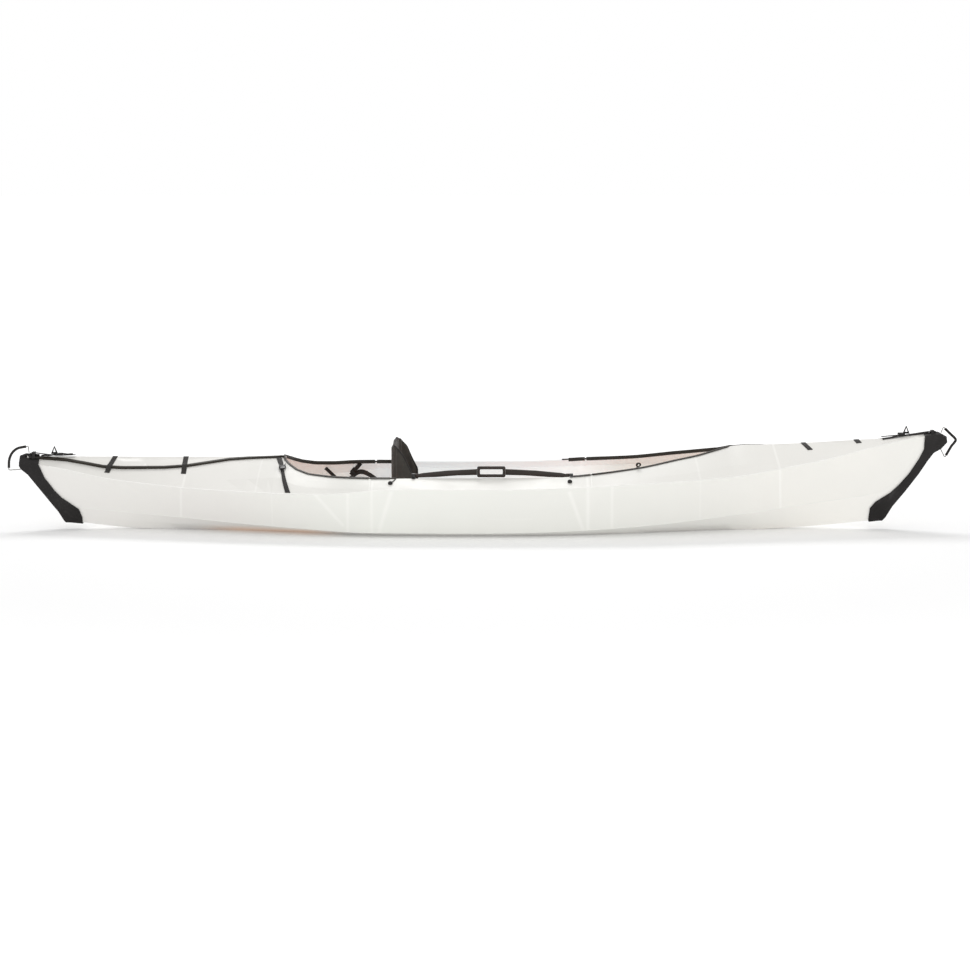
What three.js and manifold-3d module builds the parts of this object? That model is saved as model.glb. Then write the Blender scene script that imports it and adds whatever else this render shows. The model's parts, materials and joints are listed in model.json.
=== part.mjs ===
import * as THREE from "three";
import { mergeVertices } from "three/addons/utils/BufferGeometryUtils.js";
import Module from "manifold-3d";

// A folding kayak of scored corrugated sheet, set up for use. Lengths are in millimetres.
// +X is the bow, +Y is port, +Z is up, and the flat of the bottom lies on z = 0.

const wasm = await Module();
wasm.setup();

// Driving sizes
const hullLength = 3683;
const hullBeam = 737;
const hullHeight = 392;
const sheetThickness = 5;
const clearance = 0.3;
const overrun = 20; // how far a cutting body runs past what it cuts
const seamWidth = 80; // widest overlap of one deck flap over the other
const capWall = 5;
const trimWall = 2.4;
const trimLeg = 9;
const webbingWidth = 20;
const webbingThickness = 1.6;

const halfLength = hullLength / 2;
const halfBeam = hullBeam / 2;

// Lines of the hull, from stern to bow: place along the half length, half breadth, height.
const keelShares = [
  [-0.893, 0.018, 0.079],
  [-0.864, 0.018, 0.066],
  [-0.786, 0.02, 0.022],
  [-0.721, 0.027, 0.003],
  [-0.65, 0.041, 0],
  [-0.5, 0.12, 0],
  [-0.4, 0.23, 0],
  [-0.3, 0.37, 0],
  [-0.2, 0.47, 0],
  [0, 0.516, 0],
  [0.2, 0.455, 0],
  [0.3, 0.35, 0],
  [0.4, 0.22, 0],
  [0.5, 0.11, 0],
  [0.6, 0.045, 0],
  [0.644, 0.033, 0.01],
  [0.731, 0.02, 0.038],
  [0.785, 0.018, 0.062],
  [0.837, 0.018, 0.087],
  [0.855, 0.018, 0.097],
];
const chineShares = [
  [-0.915, 0.046, 0.235],
  [-0.862, 0.103, 0.224],
  [-0.802, 0.168, 0.209],
  [-0.714, 0.25, 0.181],
  [-0.62, 0.347, 0.153],
  [-0.537, 0.434, 0.125],
  [-0.433, 0.529, 0.094],
  [-0.341, 0.602, 0.069],
  [-0.281, 0.646, 0.054],
  [-0.133, 0.684, 0.049],
  [0.005, 0.692, 0.049],
  [0.1, 0.684, 0.054],
  [0.184, 0.654, 0.066],
  [0.269, 0.608, 0.084],
  [0.355, 0.548, 0.11],
  [0.419, 0.497, 0.135],
  [0.484, 0.44, 0.166],
  [0.56, 0.374, 0.204],
  [0.634, 0.304, 0.247],
  [0.702, 0.239, 0.291],
  [0.79, 0.152, 0.334],
  [0.834, 0.109, 0.365],
  [0.897, 0.046, 0.403],
];
const gunwaleShares = [
  [-0.972, 0.052, 0.673],
  [-0.938, 0.103, 0.653],
  [-0.886, 0.179, 0.615],
  [-0.828, 0.271, 0.566],
  [-0.757, 0.388, 0.528],
  [-0.707, 0.467, 0.513],
  [-0.639, 0.57, 0.49],
  [-0.532, 0.716, 0.474],
  [-0.408, 0.858, 0.464],
  [-0.298, 0.942, 0.474],
  [-0.214, 0.977, 0.515],
  [-0.089, 0.999, 0.52],
  [0.065, 1, 0.52],
  [0.14, 0.993, 0.528],
  [0.205, 0.98, 0.538],
  [0.265, 0.95, 0.551],
  [0.329, 0.906, 0.566],
  [0.413, 0.82, 0.577],
  [0.463, 0.763, 0.589],
  [0.554, 0.646, 0.62],
  [0.622, 0.543, 0.668],
  [0.738, 0.38, 0.755],
  [0.832, 0.233, 0.852],
  [0.907, 0.122, 0.918],
  [0.94, 0.079, 0.944],
  [0.975, 0.046, 0.958],
];
// Ridge of the rear deck, rim of the cockpit, ridge of the foredeck.
const topShares = [
  [-0.983, 0, 0.722],
  [-0.881, 0, 0.722],
  [-0.719, 0, 0.72],
  [-0.503, 0, 0.722],
  [-0.442, 0, 0.73],
  [-0.426, 0, 0.735],
  [-0.4235, 0.136, 0.716],
  [-0.415, 0.247, 0.695],
  [-0.395, 0.41, 0.65],
  [-0.371, 0.521, 0.622],
  [-0.328, 0.627, 0.607],
  [-0.291, 0.716, 0.607],
  [-0.228, 0.771, 0.605],
  [-0.13, 0.752, 0.603],
  [0, 0.746, 0.605],
  [0.122, 0.763, 0.61],
  [0.166, 0.776, 0.617],
  [0.216, 0.757, 0.633],
  [0.266, 0.673, 0.651],
  [0.307, 0.592, 0.668],
  [0.339, 0.529, 0.684],
  [0.413, 0.358, 0.74],
  [0.462, 0.25, 0.773],
  [0.5, 0.125, 0.804],
  [0.52, 0.045, 0.819],
  [0.529, 0, 0.826],
  [0.566, 0, 0.845],
  [0.598, 0, 0.845],
  [0.684, 0, 0.86],
  [0.8, 0, 0.893],
  [0.858, 0, 0.908],
  [0.9, 0, 0.931],
  [0.943, 0, 0.953],
  [0.978, 0, 0.962],
];
// Overlap of the deck flaps: place, share of the seam width.
const seamShares = [
  [-0.983, 0.16],
  [-0.956, 0.16],
  [-0.893, 0.32],
  [-0.809, 0.86],
  [-0.714, 1],
  [-0.65, 0.97],
  [-0.604, 0.7],
  [-0.53, 0.22],
  [-0.47, 0.16],
  [-0.426, 0.16],
  [0.529, 0.16],
  [0.566, 0.16],
  [0.61, 0.25],
  [0.66, 0.7],
  [0.72, 1],
  [0.8, 0.95],
  [0.87, 0.6],
  [0.93, 0.2],
  [0.978, 0.16],
];
// Outward bow of the deck flaps between gunwale and ridge: place, share of the hull height.
const crownShares = [
  [-1, 0],
  [-0.68, 0],
  [-0.56, 0.012],
  [-0.47, 0.04],
  [-0.426, 0.052],
  [-0.24, 0.052],
  [-0.2, 0],
  [0.2, 0],
  [0.3, 0.03],
  [0.529, 0.024],
  [0.6, 0.016],
  [0.75, 0],
  [1, 0],
];
const crownWidth = 320; // width of deck at which the flap has all of its bow
const fanShare = 0.8; // from here to the ends, sections lean with the stem
const rearPeakShare = -0.426;
const forePeakShare = 0.529;
const rearFoldShare = -0.237;
const foreFoldShare = 0.2275;
const stationsPerShare = 22;
const deckShares = [1 / 3, 2 / 3]; // columns of points between two creases
const bilgeShares = [1 / 2];

const materials = {
  sheet: new THREE.MeshStandardMaterial({ color: 0xedece6, roughness: 0.5, metalness: 0 }),
  cap: new THREE.MeshStandardMaterial({ color: 0x34302f, roughness: 0.55, metalness: 0 }),
  trim: new THREE.MeshStandardMaterial({ color: 0x3a342b, roughness: 0.6, metalness: 0 }),
  webbing: new THREE.MeshStandardMaterial({ color: 0x2f2c2a, roughness: 0.85, metalness: 0 }),
  buckle: new THREE.MeshStandardMaterial({ color: 0x262423, roughness: 0.4, metalness: 0 }),
  rubber: new THREE.MeshStandardMaterial({ color: 0x2d2b2a, roughness: 0.8, metalness: 0 }),
  cord: new THREE.MeshStandardMaterial({ color: 0xb5b4b0, roughness: 0.8, metalness: 0 }),
  seat: new THREE.MeshStandardMaterial({ color: 0x3a3734, roughness: 0.8, metalness: 0 }),
  board: new THREE.MeshStandardMaterial({ color: 0xe0702c, roughness: 0.5, metalness: 0 }),
};

const kayak = new THREE.Group();

function addPiece(name, geometry, material, parent = kayak) {
  const mesh = new THREE.Mesh(geometry, material);
  mesh.name = name;
  parent.add(mesh);
  return mesh;
}

// Closed bodies

function signedVolume(geometry) {
  const place = geometry.getAttribute("position");
  const index = geometry.index;
  const [a, b, c] = [new THREE.Vector3(), new THREE.Vector3(), new THREE.Vector3()];
  let six = 0;
  for (let i = 0; i < index.count; i += 3) {
    a.fromBufferAttribute(place, index.getX(i));
    b.fromBufferAttribute(place, index.getX(i + 1));
    c.fromBufferAttribute(place, index.getX(i + 2));
    six += a.dot(b.cross(c));
  }
  return six;
}

function meshFrom(points, triangles) {
  const geometry = new THREE.BufferGeometry();
  geometry.setAttribute("position", new THREE.Float32BufferAttribute(points.flatMap((p) => p.toArray()), 3));
  geometry.setIndex(triangles.flat());
  if (signedVolume(geometry) < 0) {
    geometry.setIndex(triangles.flatMap(([a, b, c]) => [a, c, b]));
  }
  geometry.computeVertexNormals();
  return geometry;
}

function quad(a, b, c, d) {
  return [
    [a, b, c],
    [a, c, d],
  ];
}

// Skins a thick sheet: two grids of points, joined round their borders.
function thickSheet(front, back) {
  const rows = front.length;
  const columns = front[0].length;
  const points = [...front.flat(), ...back.flat()];
  const frontAt = (i, j) => i * columns + j;
  const backAt = (i, j) => rows * columns + i * columns + j;
  const triangles = [];
  for (let i = 0; i + 1 < rows; i++) {
    for (let j = 0; j + 1 < columns; j++) {
      triangles.push(...quad(frontAt(i, j), frontAt(i + 1, j), frontAt(i + 1, j + 1), frontAt(i, j + 1)));
      triangles.push(...quad(backAt(i, j), backAt(i, j + 1), backAt(i + 1, j + 1), backAt(i + 1, j)));
    }
    const last = columns - 1;
    triangles.push(...quad(frontAt(i, 0), backAt(i, 0), backAt(i + 1, 0), frontAt(i + 1, 0)));
    triangles.push(...quad(frontAt(i, last), frontAt(i + 1, last), backAt(i + 1, last), backAt(i, last)));
  }
  for (let j = 0; j + 1 < columns; j++) {
    const last = rows - 1;
    triangles.push(...quad(frontAt(0, j), frontAt(0, j + 1), backAt(0, j + 1), backAt(0, j)));
    triangles.push(...quad(frontAt(last, j), backAt(last, j), backAt(last, j + 1), frontAt(last, j + 1)));
  }
  return meshFrom(points, triangles);
}

// Skins a body over rings of points, and closes both ends with fans.
function loft(rings) {
  const count = rings[0].length;
  const points = rings.flat();
  const triangles = [];
  for (let i = 0; i + 1 < rings.length; i++) {
    for (let j = 0; j < count; j++) {
      const next = (j + 1) % count;
      const [a, b] = [i * count, (i + 1) * count];
      triangles.push(...quad(a + j, a + next, b + next, b + j));
    }
  }
  const end = (rings.length - 1) * count;
  for (let j = 1; j + 1 < count; j++) {
    triangles.push([0, j + 1, j]);
    triangles.push([end, end + j, end + j + 1]);
  }
  return meshFrom(points, triangles);
}

function solid(geometry) {
  const plain = geometry.clone();
  plain.deleteAttribute("normal");
  plain.deleteAttribute("uv");
  const merged = mergeVertices(plain, clearance / 100);
  const mesh = new wasm.Mesh({
    numProp: 3,
    vertProperties: merged.getAttribute("position").array,
    triVerts: new Uint32Array(merged.index.array),
  });
  return new wasm.Manifold(mesh);
}

function geometryOf(body) {
  const mesh = body.getMesh();
  const geometry = new THREE.BufferGeometry();
  geometry.setAttribute("position", new THREE.BufferAttribute(mesh.vertProperties, 3));
  geometry.setIndex(new THREE.BufferAttribute(mesh.triVerts, 1));
  geometry.computeVertexNormals();
  return geometry;
}

function largest(body) {
  return body.decompose().sort((a, b) => b.volume() - a.volume())[0];
}

function joined(...geometries) {
  return geometryOf(geometries.map(solid).reduce((sum, next) => sum.add(next)));
}

function cut(geometry, ...cutters) {
  return geometryOf(cutters.map(solid).reduce((rest, next) => rest.subtract(next), solid(geometry)));
}

function block(lowX, highX, lowY, highY, lowZ, highZ) {
  const box = new THREE.BoxGeometry(highX - lowX, highY - lowY, highZ - lowZ);
  return box.translate((lowX + highX) / 2, (lowY + highY) / 2, (lowZ + highZ) / 2);
}

// A shape drawn in x and z, extruded across the boat and centred on a y.
function acrossBoat(shape, width, middleY = 0) {
  const plate = new THREE.ExtrudeGeometry(shape, { depth: width, bevelEnabled: false, curveSegments: 8 });
  return plate.rotateX(Math.PI / 2).translate(0, middleY + width / 2, 0);
}

function roundedOutline(lowX, highX, lowZ, highZ, radius) {
  const shape = new THREE.Shape();
  shape.moveTo(lowX + radius, lowZ);
  shape.lineTo(highX - radius, lowZ);
  shape.quadraticCurveTo(highX, lowZ, highX, lowZ + radius);
  shape.lineTo(highX, highZ - radius);
  shape.quadraticCurveTo(highX, highZ, highX - radius, highZ);
  shape.lineTo(lowX + radius, highZ);
  shape.quadraticCurveTo(lowX, highZ, lowX, highZ - radius);
  shape.lineTo(lowX, lowZ + radius);
  shape.quadraticCurveTo(lowX, lowZ, lowX + radius, lowZ);
  return shape;
}

// Hull lines and sections

function lineThrough(rows) {
  const places = rows.map((row) => row[0]);
  const values = rows.flatMap((row) => row.slice(1));
  const spline = new THREE.CubicInterpolant(places, values, rows[0].length - 1);
  return (place) => Array.from(spline.evaluate(place));
}

const lines = {
  keel: lineThrough(keelShares),
  chine: lineThrough(chineShares),
  gunwale: lineThrough(gunwaleShares),
  top: lineThrough(topShares),
};
const seamLine = lineThrough(seamShares);
const crownLine = lineThrough(crownShares);
const tables = { keel: keelShares, chine: chineShares, gunwale: gunwaleShares, top: topShares };

// A station is a share of the half length. Past fanShare each line runs to its own end on the stem.
function linePlace(name, station) {
  const rows = tables[name];
  const end = station < 0 ? -rows[0][0] : rows[rows.length - 1][0];
  const past = Math.max(0, Math.abs(station) - fanShare) / (1 - fanShare);
  const within = Math.min(Math.abs(station), fanShare);
  return Math.sign(station) * (within + past * (end - fanShare));
}

function linePoint(name, station) {
  const place = linePlace(name, station);
  const [breadth, height] = lines[name](place);
  const y = Math.max(0, breadth) * halfBeam;
  return new THREE.Vector3(place * halfLength, y, Math.max(0, height) * hullHeight);
}

// The flap that lies over the other stands a sheet higher at the ridge, which makes it steeper too.
function overlapLift(station) {
  const [top, gunwale] = [linePoint("top", station), linePoint("gunwale", station)];
  const fade = Math.max(0, 1 - top.y / (1.5 * seamWidth));
  let rise = 0;
  for (let i = 0; i < 3; i++) {
    const slope = Math.atan2(top.z + rise - gunwale.z, gunwale.y - top.y);
    rise = (fade * (sheetThickness + clearance)) / Math.cos(slope);
  }
  return rise;
}

// The rear deck's port flap and the foredeck's starboard flap lie on top.
function isOver(station, side) {
  return Math.sign(station) === -side;
}

function mirrored(point) {
  return new THREE.Vector3(point.x, -point.y, point.z);
}

// Half a section, from the keel up to the rim or the ridge.
function halfSection(station, side) {
  const half = ["keel", "chine", "gunwale", "top"].map((name) => linePoint(name, station));
  if (isOver(station, side)) {
    half[3].z += overlapLift(station);
  }
  return side > 0 ? half : half.map(mirrored);
}

function stationsBetween(from, to) {
  const step = 1 / stationsPerShare;
  const even = [];
  for (let i = Math.ceil(from / step); i * step < to; i++) {
    even.push(i * step);
  }
  const rim = topShares.map((row) => row[0]).filter((place) => Math.abs(place) < fanShare);
  const inside = [...even, ...rim].filter((s) => s > from && s < to);
  const sorted = [from, ...inside.sort((a, b) => a - b), to];
  return sorted.filter((s, i) => i === 0 || i === sorted.length - 1 || s - sorted[i - 1] > step / 40);
}

// Sections are taken at fixed stations, and are straight between them.
const corner = { topStarboard: 0, gunwaleStarboard: 1, chineStarboard: 2, chinePort: 5, gunwalePort: 6, topPort: 7 };
const sections = stationsBetween(-1, 1).map((station) => ({
  station,
  points: [...halfSection(station, -1).reverse(), ...halfSection(station, 1)],
  reach: seamLine(linePlace("top", station))[0] * seamWidth,
  crown: Math.max(0, crownLine(linePlace("top", station))[0]) * hullHeight,
}));

function sectionAt(station) {
  const next = sections.findIndex((section) => section.station >= station - Number.EPSILON * 8);
  const [low, high] = [sections[Math.max(0, next - 1)], sections[next]];
  const span = high.station - low.station;
  const share = span > 0 ? (station - low.station) / span : 0;
  const points = low.points.map((point, i) => point.clone().lerp(high.points[i], share));
  const mixed = (key) => low[key] + (high[key] - low[key]) * share;
  return { points, reach: mixed("reach"), crown: mixed("crown") };
}

// Shares at which the stretch between two corners is divided, so that the surface stays true.
function divisions(section, index) {
  const { points, reach } = section;
  if (index === corner.topStarboard) {
    const share = reach / points[index].distanceTo(points[index + 1]);
    return [share / 2, share, ...deckShares.map((part) => share + (1 - share) * part)];
  }
  if (index === corner.gunwalePort) {
    const share = 1 - reach / points[index].distanceTo(points[index + 1]);
    return [...deckShares.map((part) => share * part), share, (1 + share) / 2];
  }
  if (index === corner.gunwaleStarboard || index === corner.chinePort) {
    return deckShares;
  }
  const isKeel = index === corner.chineStarboard + 1;
  return isKeel ? [] : bilgeShares;
}

function segmentNormal(from, to) {
  const [dy, dz] = [to.y - from.y, to.z - from.z];
  const length = Math.hypot(dy, dz);
  return { y: dz / length, z: -dy / length };
}

// Moves a line of points outwards in its section, with mitred corners.
// A plumb end moves straight up or down, so that it stays on its upright plane.
function offsetLine(points, distance, plumbEnds = false) {
  return points.map((point, i) => {
    const before = i > 0 ? segmentNormal(points[i - 1], point) : null;
    const after = i + 1 < points.length ? segmentNormal(point, points[i + 1]) : null;
    const [one, two] = [before ?? after, after ?? before];
    const scale = distance / (1 + one.y * two.y + one.z * two.z);
    const moved = new THREE.Vector3(point.x, point.y + (one.y + two.y) * scale, point.z + (one.z + two.z) * scale);
    if (plumbEnds && (!before || !after)) {
      moved.set(point.x, point.y, point.z + distance / one.z);
    }
    return moved;
  });
}

function isDeck(station) {
  return station <= rearPeakShare || station >= forePeakShare;
}

function between(from, to) {
  return [from.clone().lerp(to, 1 / 2)];
}

function drawnIn(points, atStart, atEnd) {
  const moved = points.map((point) => point.clone());
  const last = points.length - 1;
  moved[0].add(points[1].clone().sub(points[0]).setLength(atStart));
  moved[last].add(points[last - 1].clone().sub(points[last]).setLength(atEnd));
  return moved;
}

// How far a deck flap is bowed out, at a share of the way between its two edges.
function crownAt(section, index, share) {
  const [one, two] = [section.points[index], section.points[index + 1]];
  const wide = Math.min(1, one.distanceTo(two) / crownWidth);
  const bow = 4 * share * (1 - share) * wide * wide * section.crown;
  const normal = segmentNormal(one, two);
  return new THREE.Vector3(0, normal.y * bow, normal.z * bow);
}

function divided(corners, section, first) {
  return corners.flatMap((point, i) => {
    const index = first + i;
    const isFlap = index === corner.topStarboard || index === corner.gunwalePort;
    const shares = i + 1 < corners.length ? divisions(section, index) : [];
    const inside = shares.map((share) => {
      const straight = point.clone().lerp(corners[i + 1], share);
      return isFlap ? straight.add(crownAt(section, index, share)) : straight;
    });
    return [point, ...inside];
  });
}

// One panel of the folded sheet, between two corners of the section.
// Its creases are scored through, so that each panel is a body of its own.
function panel(first, last, from, to) {
  const stations = stationsBetween(from, to);
  const gapAt = (at) => (at === corner.topStarboard || at === corner.topPort ? 0 : clearance / 2);
  const layer = (distance) =>
    stations.map((station) => {
      const section = sectionAt(station);
      const moved = offsetLine(section.points, distance, isDeck(station)).slice(first, last + 1);
      return divided(drawnIn(moved, gapAt(first), gapAt(last)), section, first);
    });
  return thickSheet(layer(0), layer(-sheetThickness));
}

function along(from, to, distance) {
  return from.clone().add(to.clone().sub(from).setLength(distance));
}

// Points of one side of the deck, from the ridge or rim down to the gunwale, at a depth in the sheet.
function deckRow(station, side, depth = 0) {
  const section = sectionAt(station);
  const row = divided(offsetLine(section.points, -depth, isDeck(station)), section, 0);
  const count = deckShares.length + 4;
  return side > 0 ? row.slice(-count).reverse() : row.slice(0, count);
}

// The part of a deck flap that crosses the ridge and lies on the other flap, from edge to edge.
function wingLine(station, distance = 0, grow = 0) {
  const side = -Math.sign(station); // the side that the flap comes from
  const [over, under] = [deckRow(station, side), deckRow(station, -side)];
  const rise = new THREE.Vector3(0, 0, over[0].z - under[0].z);
  const bends = [over[2], over[0], under[2].add(rise)];
  const line = offsetLine(side > 0 ? bends : bends.reverse(), distance);
  const [first, peak, last] = drawnIn(line, -grow, -grow);
  return [first, ...between(first, peak), peak, ...between(peak, last), last];
}

function wing(from, to, grow = 0) {
  const stations = stationsBetween(from, to);
  const layer = (distance) => stations.map((station) => wingLine(station, distance, grow));
  return thickSheet(layer(grow), layer(-sheetThickness - grow));
}

function buildDeck(side) {
  const isPort = side === "port";
  const corners = isPort ? [corner.gunwalePort, corner.topPort] : [corner.topStarboard, corner.gunwaleStarboard];
  const half = clearance / 2 / halfLength;
  const rear = panel(...corners, -1, rearFoldShare - half);
  const fore = panel(...corners, foreFoldShare + half, 1);
  addPiece("rear_flap_" + side, isPort ? joined(rear, wing(-1, rearPeakShare)) : rear, materials.sheet);
  addPiece("side_deck_" + side, panel(...corners, rearFoldShare + half, foreFoldShare - half), materials.sheet);
  addPiece("fore_flap_" + side, isPort ? fore : joined(fore, wing(forePeakShare, 1)), materials.sheet);
}

function buildHull() {
  addPiece("hull_bottom", panel(corner.chineStarboard, corner.chinePort, -1, 1), materials.sheet);
  addPiece("hull_side_port", panel(corner.chinePort, corner.gunwalePort, -1, 1), materials.sheet);
  addPiece("hull_side_starboard", panel(corner.gunwaleStarboard, corner.chineStarboard, -1, 1), materials.sheet);
  buildDeck("port");
  buildDeck("starboard");
}

buildHull();

// End caps

// Outlines of the end caps, seen from the side: along the half length, height.
const sternCapShares = [
  [-0.956, 0.79],
  [-0.978, 0.785],
  [-0.9985, 0.745],
  [-1, 0.643],
  [-0.995, 0.607],
  [-0.981, 0.556],
  [-0.917, 0.181],
  [-0.905, 0.082],
  [-0.893, 0.03],
  [-0.865, 0.02],
  [-0.865, 0.125],
  [-0.871, 0.212],
  [-0.908, 0.327],
  [-0.923, 0.398],
  [-0.944, 0.528],
  [-0.956, 0.663],
];
const bowCapShares = [
  [0.95, 1.03],
  [0.967, 1.02],
  [0.983, 0.985],
  [0.998, 0.944],
  [1, 0.885],
  [0.987, 0.819],
  [0.971, 0.778],
  [0.959, 0.704],
  [0.939, 0.561],
  [0.911, 0.388],
  [0.884, 0.23],
  [0.87, 0.117],
  [0.858, 0.06],
  [0.837, 0.04],
  [0.833, 0.097],
  [0.835, 0.217],
  [0.846, 0.281],
  [0.859, 0.321],
  [0.878, 0.375],
  [0.897, 0.457],
  [0.918, 0.569],
  [0.938, 0.712],
  [0.949, 0.816],
];
const capNoseLength = 75;
const stemClearance = 9; // between the ends of the panels and the cap
const capNoseShares = [
  [0.2, 0.95],
  [0.5, 0.8],
  [1, 0.5],
];
const capInnerShare = 0.8; // station where the bodies that shape a cap begin
const strapGripHeight = 6;
const strapGripLength = 12;

const fitHeight = clearance + webbingThickness + clearance;

// The hull as a filled body near one end, grown by a distance, with a nose past the stem.
function filledEnd(end, grow, noseLength, noseShares) {
  const [from, to] = end < 0 ? [-1, -capInnerShare] : [capInnerShare, 1];
  const rings = stationsBetween(from, to).map((station) => {
    const section = sectionAt(station);
    return divided(offsetLine(section.points, grow, true), section, 0);
  });
  const tip = end < 0 ? rings[0] : rings[rings.length - 1];
  const nose = noseShares.map(([reach, breadth]) =>
    tip.map((point) => new THREE.Vector3(point.x + end * reach * noseLength, point.y * breadth, point.z)),
  );
  return loft(end < 0 ? [...nose.reverse(), ...rings] : [...rings, ...nose]);
}

function endCap(end, outlineShares) {
  const outline = outlineShares.map(([x, z]) => new THREE.Vector2(x * halfLength, z * hullHeight));
  const [from, to] = end < 0 ? [-1, -capInnerShare] : [capInnerShare, 1];
  const silhouette = acrossBoat(new THREE.Shape(outline), hullBeam);
  const outer = solid(filledEnd(end, clearance + capWall, capNoseLength, capNoseShares));
  const outerWing = solid(wing(from, to, clearance + capWall));
  const shell = outer.add(outerWing).intersect(solid(silhouette));
  const gripX = end * capGripShare * halfLength;
  const top = capTop(end);
  const halfWidth = webbingWidth / 2 + clearance;
  const [lowX, highX] = [gripX - strapGripLength / 2, gripX + strapGripLength / 2];
  const grip = block(lowX, highX, -halfWidth - capWall, halfWidth + capWall, top - 4 * capWall, top + strapGripHeight);
  const slot = block(lowX - capNoseLength, highX + capNoseLength, -halfWidth, halfWidth, top, top + fitHeight);
  const innerWing = solid(wing(from, to, 2 * clearance));
  const inner = solid(filledEnd(end, clearance, stemClearance, [[1, 1]]))
    .add(innerWing)
    .add(innerWing.translate([end * stemClearance, 0, 0]));
  return geometryOf(largest(shell.add(solid(grip)).subtract(solid(slot)).subtract(inner)));
}

// Where the tension straps meet the caps
const capGripShare = 0.968;

// The station whose ridge or rim lies at x.
function stationAt(x) {
  const place = x / halfLength;
  const end = Math.abs(place < 0 ? topShares[0][0] : topShares[topShares.length - 1][0]);
  const past = Math.max(0, Math.abs(place) - fanShare) / (end - fanShare);
  const station = Math.min(Math.abs(place), fanShare) + past * (1 - fanShare);
  return Math.sign(place) * Math.min(1, station);
}

function ridgeHeight(x) {
  const { points } = sectionAt(stationAt(x));
  return Math.max(points[corner.topStarboard].z, points[corner.topPort].z);
}

// Height of a cap's crest where the strap lies on it.
function capTop(end) {
  const moved = offsetLine(sectionAt(end).points, clearance + capWall, true);
  return Math.max(moved[corner.topStarboard].z, moved[corner.topPort].z);
}

addPiece("stern_cap", endCap(-1, sternCapShares), materials.cap);
addPiece("bow_cap", endCap(1, bowCapShares), materials.cap);

// Black edge channels

const rimLeg = 6.5;
const channelSlack = 1.5;

// Frames along the edge of a sheet: the edge point, the way out past it, and the way out of the skin.
function edgeFrames(edge, body) {
  const spans = edge.slice(1).map((point, i) => {
    const tangent = point.clone().sub(edge[i]);
    const inward = body[i].clone().add(body[i + 1]).sub(edge[i]).sub(point);
    const normal = tangent.clone().cross(inward).normalize();
    normal.multiplyScalar(Math.sign(normal.z));
    const out = tangent.cross(normal).normalize();
    return { normal, out: out.multiplyScalar(-Math.sign(out.dot(inward))) };
  });
  const mitred = (one, two) => one.clone().add(two).divideScalar(1 + one.dot(two));
  return edge.map((point, i) => {
    const [before, after] = [spans[Math.max(0, i - 1)], spans[Math.min(i, spans.length - 1)]];
    return { point, out: mitred(before.out, after.out), normal: mitred(before.normal, after.normal) };
  });
}

// A profile holds, for each corner, the way past the edge, the way off the skin, and which skin.
function channelAlong(frames, front, back) {
  const layer = (profile) =>
    frames.map(({ point, inner, out, normal }) =>
      profile.map(([past, above, isInner]) => {
        const start = (isInner ? inner : point).clone();
        return start.addScaledVector(out, past).addScaledVector(normal, isInner ? -above : above);
      }),
    );
  return thickSheet(layer(front), layer(back));
}

// The channel's mouth is a little wider than the sheet.
function rimProfile(off) {
  return [
    [-rimLeg, off + channelSlack, false],
    [off, off + channelSlack, false],
    [off, off + channelSlack, true],
    [-rimLeg, off + channelSlack, true],
  ];
}

function rimChannel(side, from, to) {
  const stations = stationsBetween(from, to);
  const rows = stations.map((station) => deckRow(station, side));
  const frames = edgeFrames(
    rows.map((row) => row[0]),
    rows.map((row) => row[1]),
  );
  const deep = frames.map((frame, i) => ({ ...frame, inner: deckRow(stations[i], side, sheetThickness)[0] }));
  return channelAlong(deep, rimProfile(clearance + trimWall), rimProfile(clearance));
}

// The edging of a wing has one leg on top, and a lip in front of the wing's edge.
function seamEdging(from, to) {
  const isStern = from < 0;
  const rows = stationsBetween(from, to).map((station) => wingLine(station));
  const frames = edgeFrames(
    rows.map((line) => (isStern ? line[4] : line[0])),
    rows.map((line) => (isStern ? line[3] : line[1])),
  );
  const [near, far] = [clearance, clearance + trimWall];
  const front = [
    [-trimLeg, far],
    [far, far],
    [far, -sheetThickness],
  ];
  const back = [
    [-trimLeg, near],
    [near, near],
    [near, -sheetThickness],
  ];
  return channelAlong(frames, front, back);
}

// Ends of the channels, as stations
const rimRearShares = { port: -0.4242, starboard: -0.4238 };
const rimForeShares = { port: 0.507, starboard: 0.5265 };
const rimBreakShares = [-0.239, -0.235, 0.2255, 0.2295];
const railBowX = 0.18246 * halfLength;
const railLugLength = 13;
const rimTipShares = [-0.194, (railBowX + railLugLength + 3 * clearance) / halfLength];
const seamTrimShares = { rear: [-0.965, -0.434], fore: [0.537, 0.945] };

function buildChannels() {
  addPiece("rear_seam_trim", seamEdging(...seamTrimShares.rear), materials.trim);
  addPiece("fore_seam_trim", seamEdging(...seamTrimShares.fore), materials.trim);
  for (const side of ["port", "starboard"]) {
    const sign = side === "port" ? 1 : -1;
    const add = (name, from, to) => addPiece(name + "_" + side, rimChannel(sign, from, to), materials.trim);
    add("rim_trim_rear", rimRearShares[side], rimBreakShares[0]);
    add("rim_tip_rear", rimBreakShares[1], rimTipShares[0]);
    add("rim_tip_fore", rimTipShares[1], rimBreakShares[2]);
    add("rim_trim_fore", rimBreakShares[3], rimForeShares[side]);
  }
}

buildChannels();

// Webbing over the decks

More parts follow.
